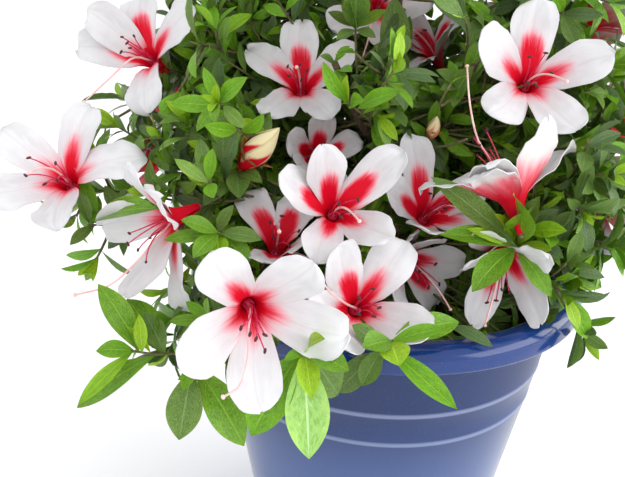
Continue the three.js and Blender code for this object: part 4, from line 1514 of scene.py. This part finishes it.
def add_petal(sheets, shoot, tile, tip, random):
    """One lobe, with its share of the funnel: a thin closed sheet, ruffled, creased and cupped."""
    axis, reach, point = shoot["facing"], shoot["reach"], shoot.get("point", 0.2 + 0.7 * random())
    to_tip = tip - shoot["centre"]
    rise = min(max(to_tip.dot(axis), RISE_SPAN[0] * reach), RISE_SPAN[1] * reach)
    flat_way = to_tip - axis * to_tip.dot(axis)
    out = flat_way.normalized()
    spread = min(max(flat_way.length, SPREAD_SPAN[0] * reach), SPREAD_SPAN[1] * reach)
    v, u = np.meshgrid(np.array(PETAL_STEPS, dtype=float), PETAL_COLUMNS, indexing="ij")
    steps = [m[0] for m in MOUTH + BLADE]
    radii = [m[1] for m in MOUTH] + [b[1] * spread / BLADE[-1][1] for b in BLADE]
    rises = [m[2] for m in MOUTH] + [b[2] * reach for b in BLADE]
    far = np.clip((v - BLADE_START) / (1 - BLADE_START), 0, 1)
    r = np.interp(v, steps, radii)
    z = np.interp(v, steps, rises) + (rise - BLADE[-1][2] * reach) * far**1.4
    lobe = [(a + (b - a) * point) * reach for a, b in zip(ROUND_LOBE, POINTED_LOBE)]
    half = np.interp(v, LOBE_STEPS, lobe)
    half = np.minimum(MOST_HALF * r, half * (0.92 + 0.14 * random()))
    flat = smoothstep(*FLATTENS, v)
    angle = u * half / r
    outward = r * (flat + (1 - flat) * np.cos(angle))
    bend = SIDE_BEND * reach * (random() - 0.5)
    sideways = (1 - flat) * r * np.sin(angle) + flat * (u * half + bend * 4 * far * (1 - far))
    full = 2 * math.pi
    phase, waves = random() * full, 1.2 + 0.9 * random()
    ruffle = RUFFLE * np.abs(u) ** 1.7 * np.sin(full * waves * v + phase + 0.8 * u)
    ruffle += FINE_RUFFLE * np.abs(u) ** 3 * np.sin(full * (3 + waves) * v + 5 * phase + 2 * u)
    dimples = np.sin(full * (1.1 * u - 1.6 * v) + 3 * phase)
    ruffle += DIMPLES * np.sin(full * (2.3 * v + 0.9 * u) + phase) * dimples
    crease = -CREASE * np.exp(-((u / CREASE_WIDTH) ** 2)) * smoothstep(1, 0.8, v)
    cup = (random() - 0.45) * CUP * u * u * smoothstep(0.4, 0.7, v)
    curl = -CURL * reach * (0.3 + point) * random() * smoothstep(0.82, 1.05, v)
    bow = BOW * reach * (random() - 0.3) * 4 * far * (1 - far)
    z = z + flat * (ruffle + crease + cup + curl + bow)
    front = laid_out(shoot["centre"], (outward, out), (sideways, axis.cross(out)), (z, axis))
    normal = np.cross(np.gradient(front, axis=1), np.gradient(front, axis=0))
    normal /= np.linalg.norm(normal, axis=-1, keepdims=True)
    if (normal[10, 5] @ np.array(axis)) < 0:
        normal = -normal
    add_sheet(sheets, front, front - normal * PETAL_SHEET, u, v, tile)


def add_sheet(sheets, front, back, u, v, tile):
    """A front and a back grid of points, closed along their rim."""
    rows, columns = v.shape
    count = rows * columns
    rim = [r * columns for r in range(rows)]
    rim += [(rows - 1) * columns + c for c in range(1, columns)]
    rim += [r * columns + columns - 1 for r in range(rows - 2, -1, -1)]
    rim += list(range(columns - 2, 0, -1))
    faces = grid_faces(rows, columns, flip=True) + grid_faces(rows, columns, start=count)
    faces += ring_faces(2, len(rim), 2 * count)
    flat_u, flat_v = ((u + 1) / 2).ravel(), v.ravel()
    outer_u = flat_u[rim] + 0.02 * np.sign(flat_u[rim] - 0.5)
    outer_v = flat_v[rim] + 0.02 * np.sign(flat_v[rim] - 0.5)
    charts = ((flat_u, flat_v, 0), (flat_u, flat_v, 1), (flat_u[rim], flat_v[rim], 0), (outer_u, outer_v, 0))
    places = [in_tile(across, along, tile, row, *PETAL_TILES) for across, along, row in charts]
    front, back = front.reshape(-1, 3), back.reshape(-1, 3)
    sheets.add(np.concatenate([front, back, front[rim], back[rim]]), faces, np.concatenate(places))


def add_stamens(filaments, anthers, shoot, random):
    axis, centre = shoot["facing"], shoot["centre"]
    for depth, radius in STOPPERS:
        add_ball(filaments, centre - axis * depth, radius, axis)
    low = -cross_frame(axis)[1]
    ends = [seen_at(pixel, depth_of(centre + axis * ANTHER_AHEAD)) for pixel in shoot.get("anthers", ())]
    for k in range(len(ends), PETALS):
        out = radial(axis, 72 * k + 50 * random())
        ahead, outward, lower = [mix(span, random()) for span in ANTHER_SPANS]
        ends.append(centre + axis * ahead + out * outward + low * lower)
    for k, end in enumerate(ends):
        out = radial(axis, 72 * k + 30 * random())
        start = centre - axis * 5 + out * 1.3
        path = bent(start, centre + axis * 7 + (end - centre) * 0.2 + out, end, 8)
        add_tube(filaments, path, FILAMENT_RADIUS, 5, 8)
        add_ball(anthers, end, ANTHER_RADIUS, radial(axis, 360 * random()), ANTHER_STRETCH)


def add_pistil(pistils, shoot, random):
    axis, centre = shoot["facing"], shoot["centre"]
    start = centre - axis * 4
    if shoot.get("pistil"):
        marks = zip(shoot["pistil"], PISTIL_HEIGHTS)
        course = [seen_at(pixel, depth_of(centre + axis * height)) for pixel, height in marks]
        path = through([start, *course], 8)
    else:
        around, lean = 180 + 50 * (random() - 0.5), mix(PISTIL_LEANS, random())
        end_way = leaning(axis, radial(axis, around), lean)
        bend = centre + axis * 15
        path = bent(start, bend, bend + end_way * mix(PISTIL_LENGTHS, random()), 10)
    add_tube(pistils, path, PISTIL_RADIUS, 6, 16)
    add_ball(pistils, path.at(1), STIGMA_RADIUS, path.way(1), 0.8)


def add_bud(parts, foot, axis, size, row, random):
    """A closed bud: overlapping petals twisted to a point, in a collar of bracts."""
    side, top = cross_frame(axis)
    v, u = np.meshgrid(np.linspace(0, 1, BUD_ROWS), np.linspace(0, 1, BUD_COLUMNS), indexing="ij")
    swell = BUD_WIDTH / 2 * np.sin(math.pi * np.clip(v * 0.93 + 0.06, 0, 1)) ** 0.9 * (1.06 - 0.22 * v)
    for k in range(PETALS):
        radius = swell * (0.76 + 0.28 * u - 0.05 * k / PETALS)
        angle = 2 * math.pi * (k / PETALS + u * BUD_LAP + v * BUD_TURNS)
        up = size * v * BUD_LENGTH * (1 - 0.05 * (k % 2))
        flat = (size * radius * np.cos(angle), side), (size * radius * np.sin(angle), top)
        points = laid_out(foot, (up, axis), *flat)
        places = in_tile(u, v, BUD_TILE, row, *PETAL_TILES)
        parts["petals"].add(points.reshape(-1, 3), grid_faces(BUD_ROWS, BUD_COLUMNS), places.reshape(-1, 2))
    for k in range(BUD_BRACTS):
        out = radial(axis, 360 / BUD_BRACTS * k + 20 * random())
        root = foot - axis * size + out * 1.2 * size
        forward = leaning(axis, out, 20 + 15 * random())
        length = mix(BRACT_LENGTHS, random()) * size
        add_leaf(parts["bracts"], root, forward, -out, length, LIMES[1], random)


def add_bloom(parts, shoot, random):
    tiles = BLUSH_TILES[shoot.get("blush", int(3 * random()))]
    for tile, tip in zip(tiles, lobe_tips(shoot, random)):
        add_petal(parts["petals"], shoot, tile, tip, random)
    add_stamens(parts["filaments"], parts["anthers"], shoot, random)
    add_pistil(parts["pistils"], shoot, random)
    behind = shoot["centre"] - shoot["facing"] * (TUBE_LENGTH + 0.4)
    add_ball(parts["twigs"], behind, CALYX_RADIUS, shoot["facing"], 0.9)


# ---------- The whole plant

GREEN_TWIGS = (0.7, (0.09, 0.085, 0.03), (0.17, 0.15, 0.06), 0.6)
# The small parts of blooms and buds: how rough they are, their darker and lighter colour, and how fine
# their speckles are
SMALL_PARTS = dict(
    filaments=(0.45, (0.5, 0.005, 0.05), (0.7, 0.05, 0.14), 0.8),
    anthers=(0.6, (0.035, 0.004, 0.008), (0.09, 0.012, 0.02), 1.0),
    pistils=(0.4, (0.85, 0.45, 0.45), (0.9, 0.66, 0.62), 0.15),
    bracts=(0.6, (0.22, 0.09, 0.02), (0.5, 0.33, 0.1), 0.7),
)


def grow_sprays(foliage, masses, parts):
    """The sprays and leaves that fill the room between the photograph's blooms."""
    for n, (at, name) in enumerate(LOW_SPRAYS):
        homes = [m for m in masses if m["name"] == name]
        foliage.spray(over_rim(at), homes, LOW_WHORL, 0, random_stream("low", n))
    for n, (x, y, depth, greens) in enumerate(SEEN_SPRAYS):
        ends = [seen_at((x, y), depth + SPRAY_STEP * k) for k in range(SPRAY_TRIES)]
        end = next((end for end in ends if foliage.free((end,), end)), None)
        homes = sorted(masses, key=lambda m: (m["hub"] - ends[0]).length)[:4]
        twig = end and foliage.spray(end, homes, SEEN_WHORL, greens, random_stream("seen", n))
        if twig and n == SPENT_BUD:
            axis, random = towards(*SPENT_BUD_WAY), random_stream("bud")
            add_bud(parts, twig.at(1), axis, SPENT_BUD_SIZE, SALMON_BUD, random)
    foliage.enter(masses[0])
    rim_twig = foliage.twig_to(over_rim(RIM_LEAF_ROOT), masses[:2])
    foliage.shown_leaf(rim_twig.at(1), RIM_LEAF[:2], *RIM_LEAF[2:], random_stream("rim"))
    for n, (name, limb, share, leaves) in enumerate(LIMB_LEAVES):
        mass = next(m for m in masses if m["name"] == name)
        foliage.enter(mass)
        for k, (x, y, *shape) in enumerate(leaves):
            root = mass[limb].at(share - LIMB_LEAF_STEP * k)
            foliage.shown_leaf(root, (x, y), *shape, random_stream("limbs", 10 * n + k))


def grow_limbs(foliage, masses, stems):
    """Each mass's stem, and the finer twigs and leaves on its bough and stem."""
    for n, mass in enumerate(masses):
        bough, stem = mass["bough"], mass["stem"]
        random = random_stream("masses", n)
        foliage.enter(mass)
        add_tube(stems, stem, thinning(STEM_RADIUS, STEM_LOSS), STEM_SIDES, STEM_STEPS)
        foliage.branch(bough, *BOUGH_SIDE_TWIGS, random)
        foliage.branch(stem, *STEM_SIDE_TWIGS, random)
        foliage.whorl(stem, 1, *STEM_WHORL, GREENS[1], random, STEM_WHORL_STEP)


def make_plant():
    masses = make_masses()
    shoots = make_shoots(masses)
    make_wood(masses)
    foliage = Foliage(shoots)
    parts = {name: Sheets() for name in ("stems", "petals", *SMALL_PARTS)}
    parts["twigs"] = foliage.twigs
    grow_sprays(foliage, masses, parts)
    grow_limbs(foliage, masses, parts["stems"])
    for shoot in shoots:
        foliage.grow(shoot)
        random = random_stream("blooms", shoot["index"])
        if shoot["kind"] == "bloom":
            add_bloom(parts, shoot, random)
        elif shoot["kind"] == "bud":
            foot = shoot["foot"] - shoot["facing"] * BUD_SUNK
            add_bud(parts, foot, shoot["facing"], 1, CRIMSON_BUD, random)

    leaf = leaf_material()
    pieces = [sheets.build("leaves_" + zone, leaf, "foliage") for zone, sheets in foliage.zones.items()]
    materials = dict(
        twigs=speckled_material("green_twigs", *GREEN_TWIGS), stems=bark_material(), petals=petal_material(),
    )
    for name, looks in SMALL_PARTS.items():
        materials[name] = speckled_material(name, *looks)
    for name, material in materials.items():
        pieces.append(parts[name].build(name, material, "foliage", mapped=name == "petals"))
    nodes = ["foliage_" + mass["name"] for mass in masses]
    for piece in pieces:
        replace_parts(piece, *nodes)


# ---------- Surroundings, in metres

FLOOR_SIDES, FLOOR_REACH = 96, 14
FLOOR_PALES = ((0.965, 0.965, 0.97), (0.98, 0.98, 0.98))
# Where each light stands, how wide and high it is, and its power
LIGHTS = dict(key=((-0.6, -2.8, 1.7), 2.2, 2.2, 7), window=((2.9, -0.5, 1.3), 4.4, 1.8, 84))
LIT_PLACE = (0, 0, 0.2)
WORLD_STRENGTH = 1.11
NEAREST_SEEN = 0.01


def make_stage():
    """A wide pale floor."""
    mesh = bpy.data.meshes.new("floor")
    ring = [(FLOOR_REACH * math.cos(a), FLOOR_REACH * math.sin(a), 0) for a in round_angles(FLOOR_SIDES)]
    mesh.from_pydata(ring, [], [list(range(FLOOR_SIDES))])
    n = Nodes("pale_floor", 0.8)
    mesh.materials.append(n.colour(n.blend(n.noise(n.position(), 0.8), *FLOOR_PALES)))
    floor = linked("floor", mesh)


def make_lights():
    for name, (at, width, height, power) in LIGHTS.items():
        data = bpy.data.lights.new(name, "AREA")
        data.shape, data.size, data.size_y, data.energy = "RECTANGLE", width, height, power
        light = linked(name, data)
        light.location = at
        light.rotation_euler = (Vector(LIT_PLACE) - Vector(at)).to_track_quat("-Z", "Y").to_euler()
    world = bpy.data.worlds.new("studio")
    world.use_nodes = True
    world.node_tree.nodes["Background"].inputs["Color"].default_value = (1, 1, 1, 1)
    world.node_tree.nodes["Background"].inputs["Strength"].default_value = WORLD_STRENGTH
    bpy.context.scene.world = world
    bpy.context.scene.view_settings.view_transform = "Standard"


def make_camera():
    data = bpy.data.cameras.new("camera")
    data.sensor_width, data.lens, data.clip_start = SENSOR_WIDTH, CAMERA_LENS, NEAREST_SEEN
    camera = linked("camera", data)
    turn = Matrix((ACROSS, UPWARD, -FORWARD)).transposed().to_4x4()
    camera.matrix_world = Matrix.Translation(CAMERA * MM) @ turn
    bpy.context.scene.camera = camera


make_camera()
make_stage()
make_lights()
make_pot()
make_soil()
make_plant()
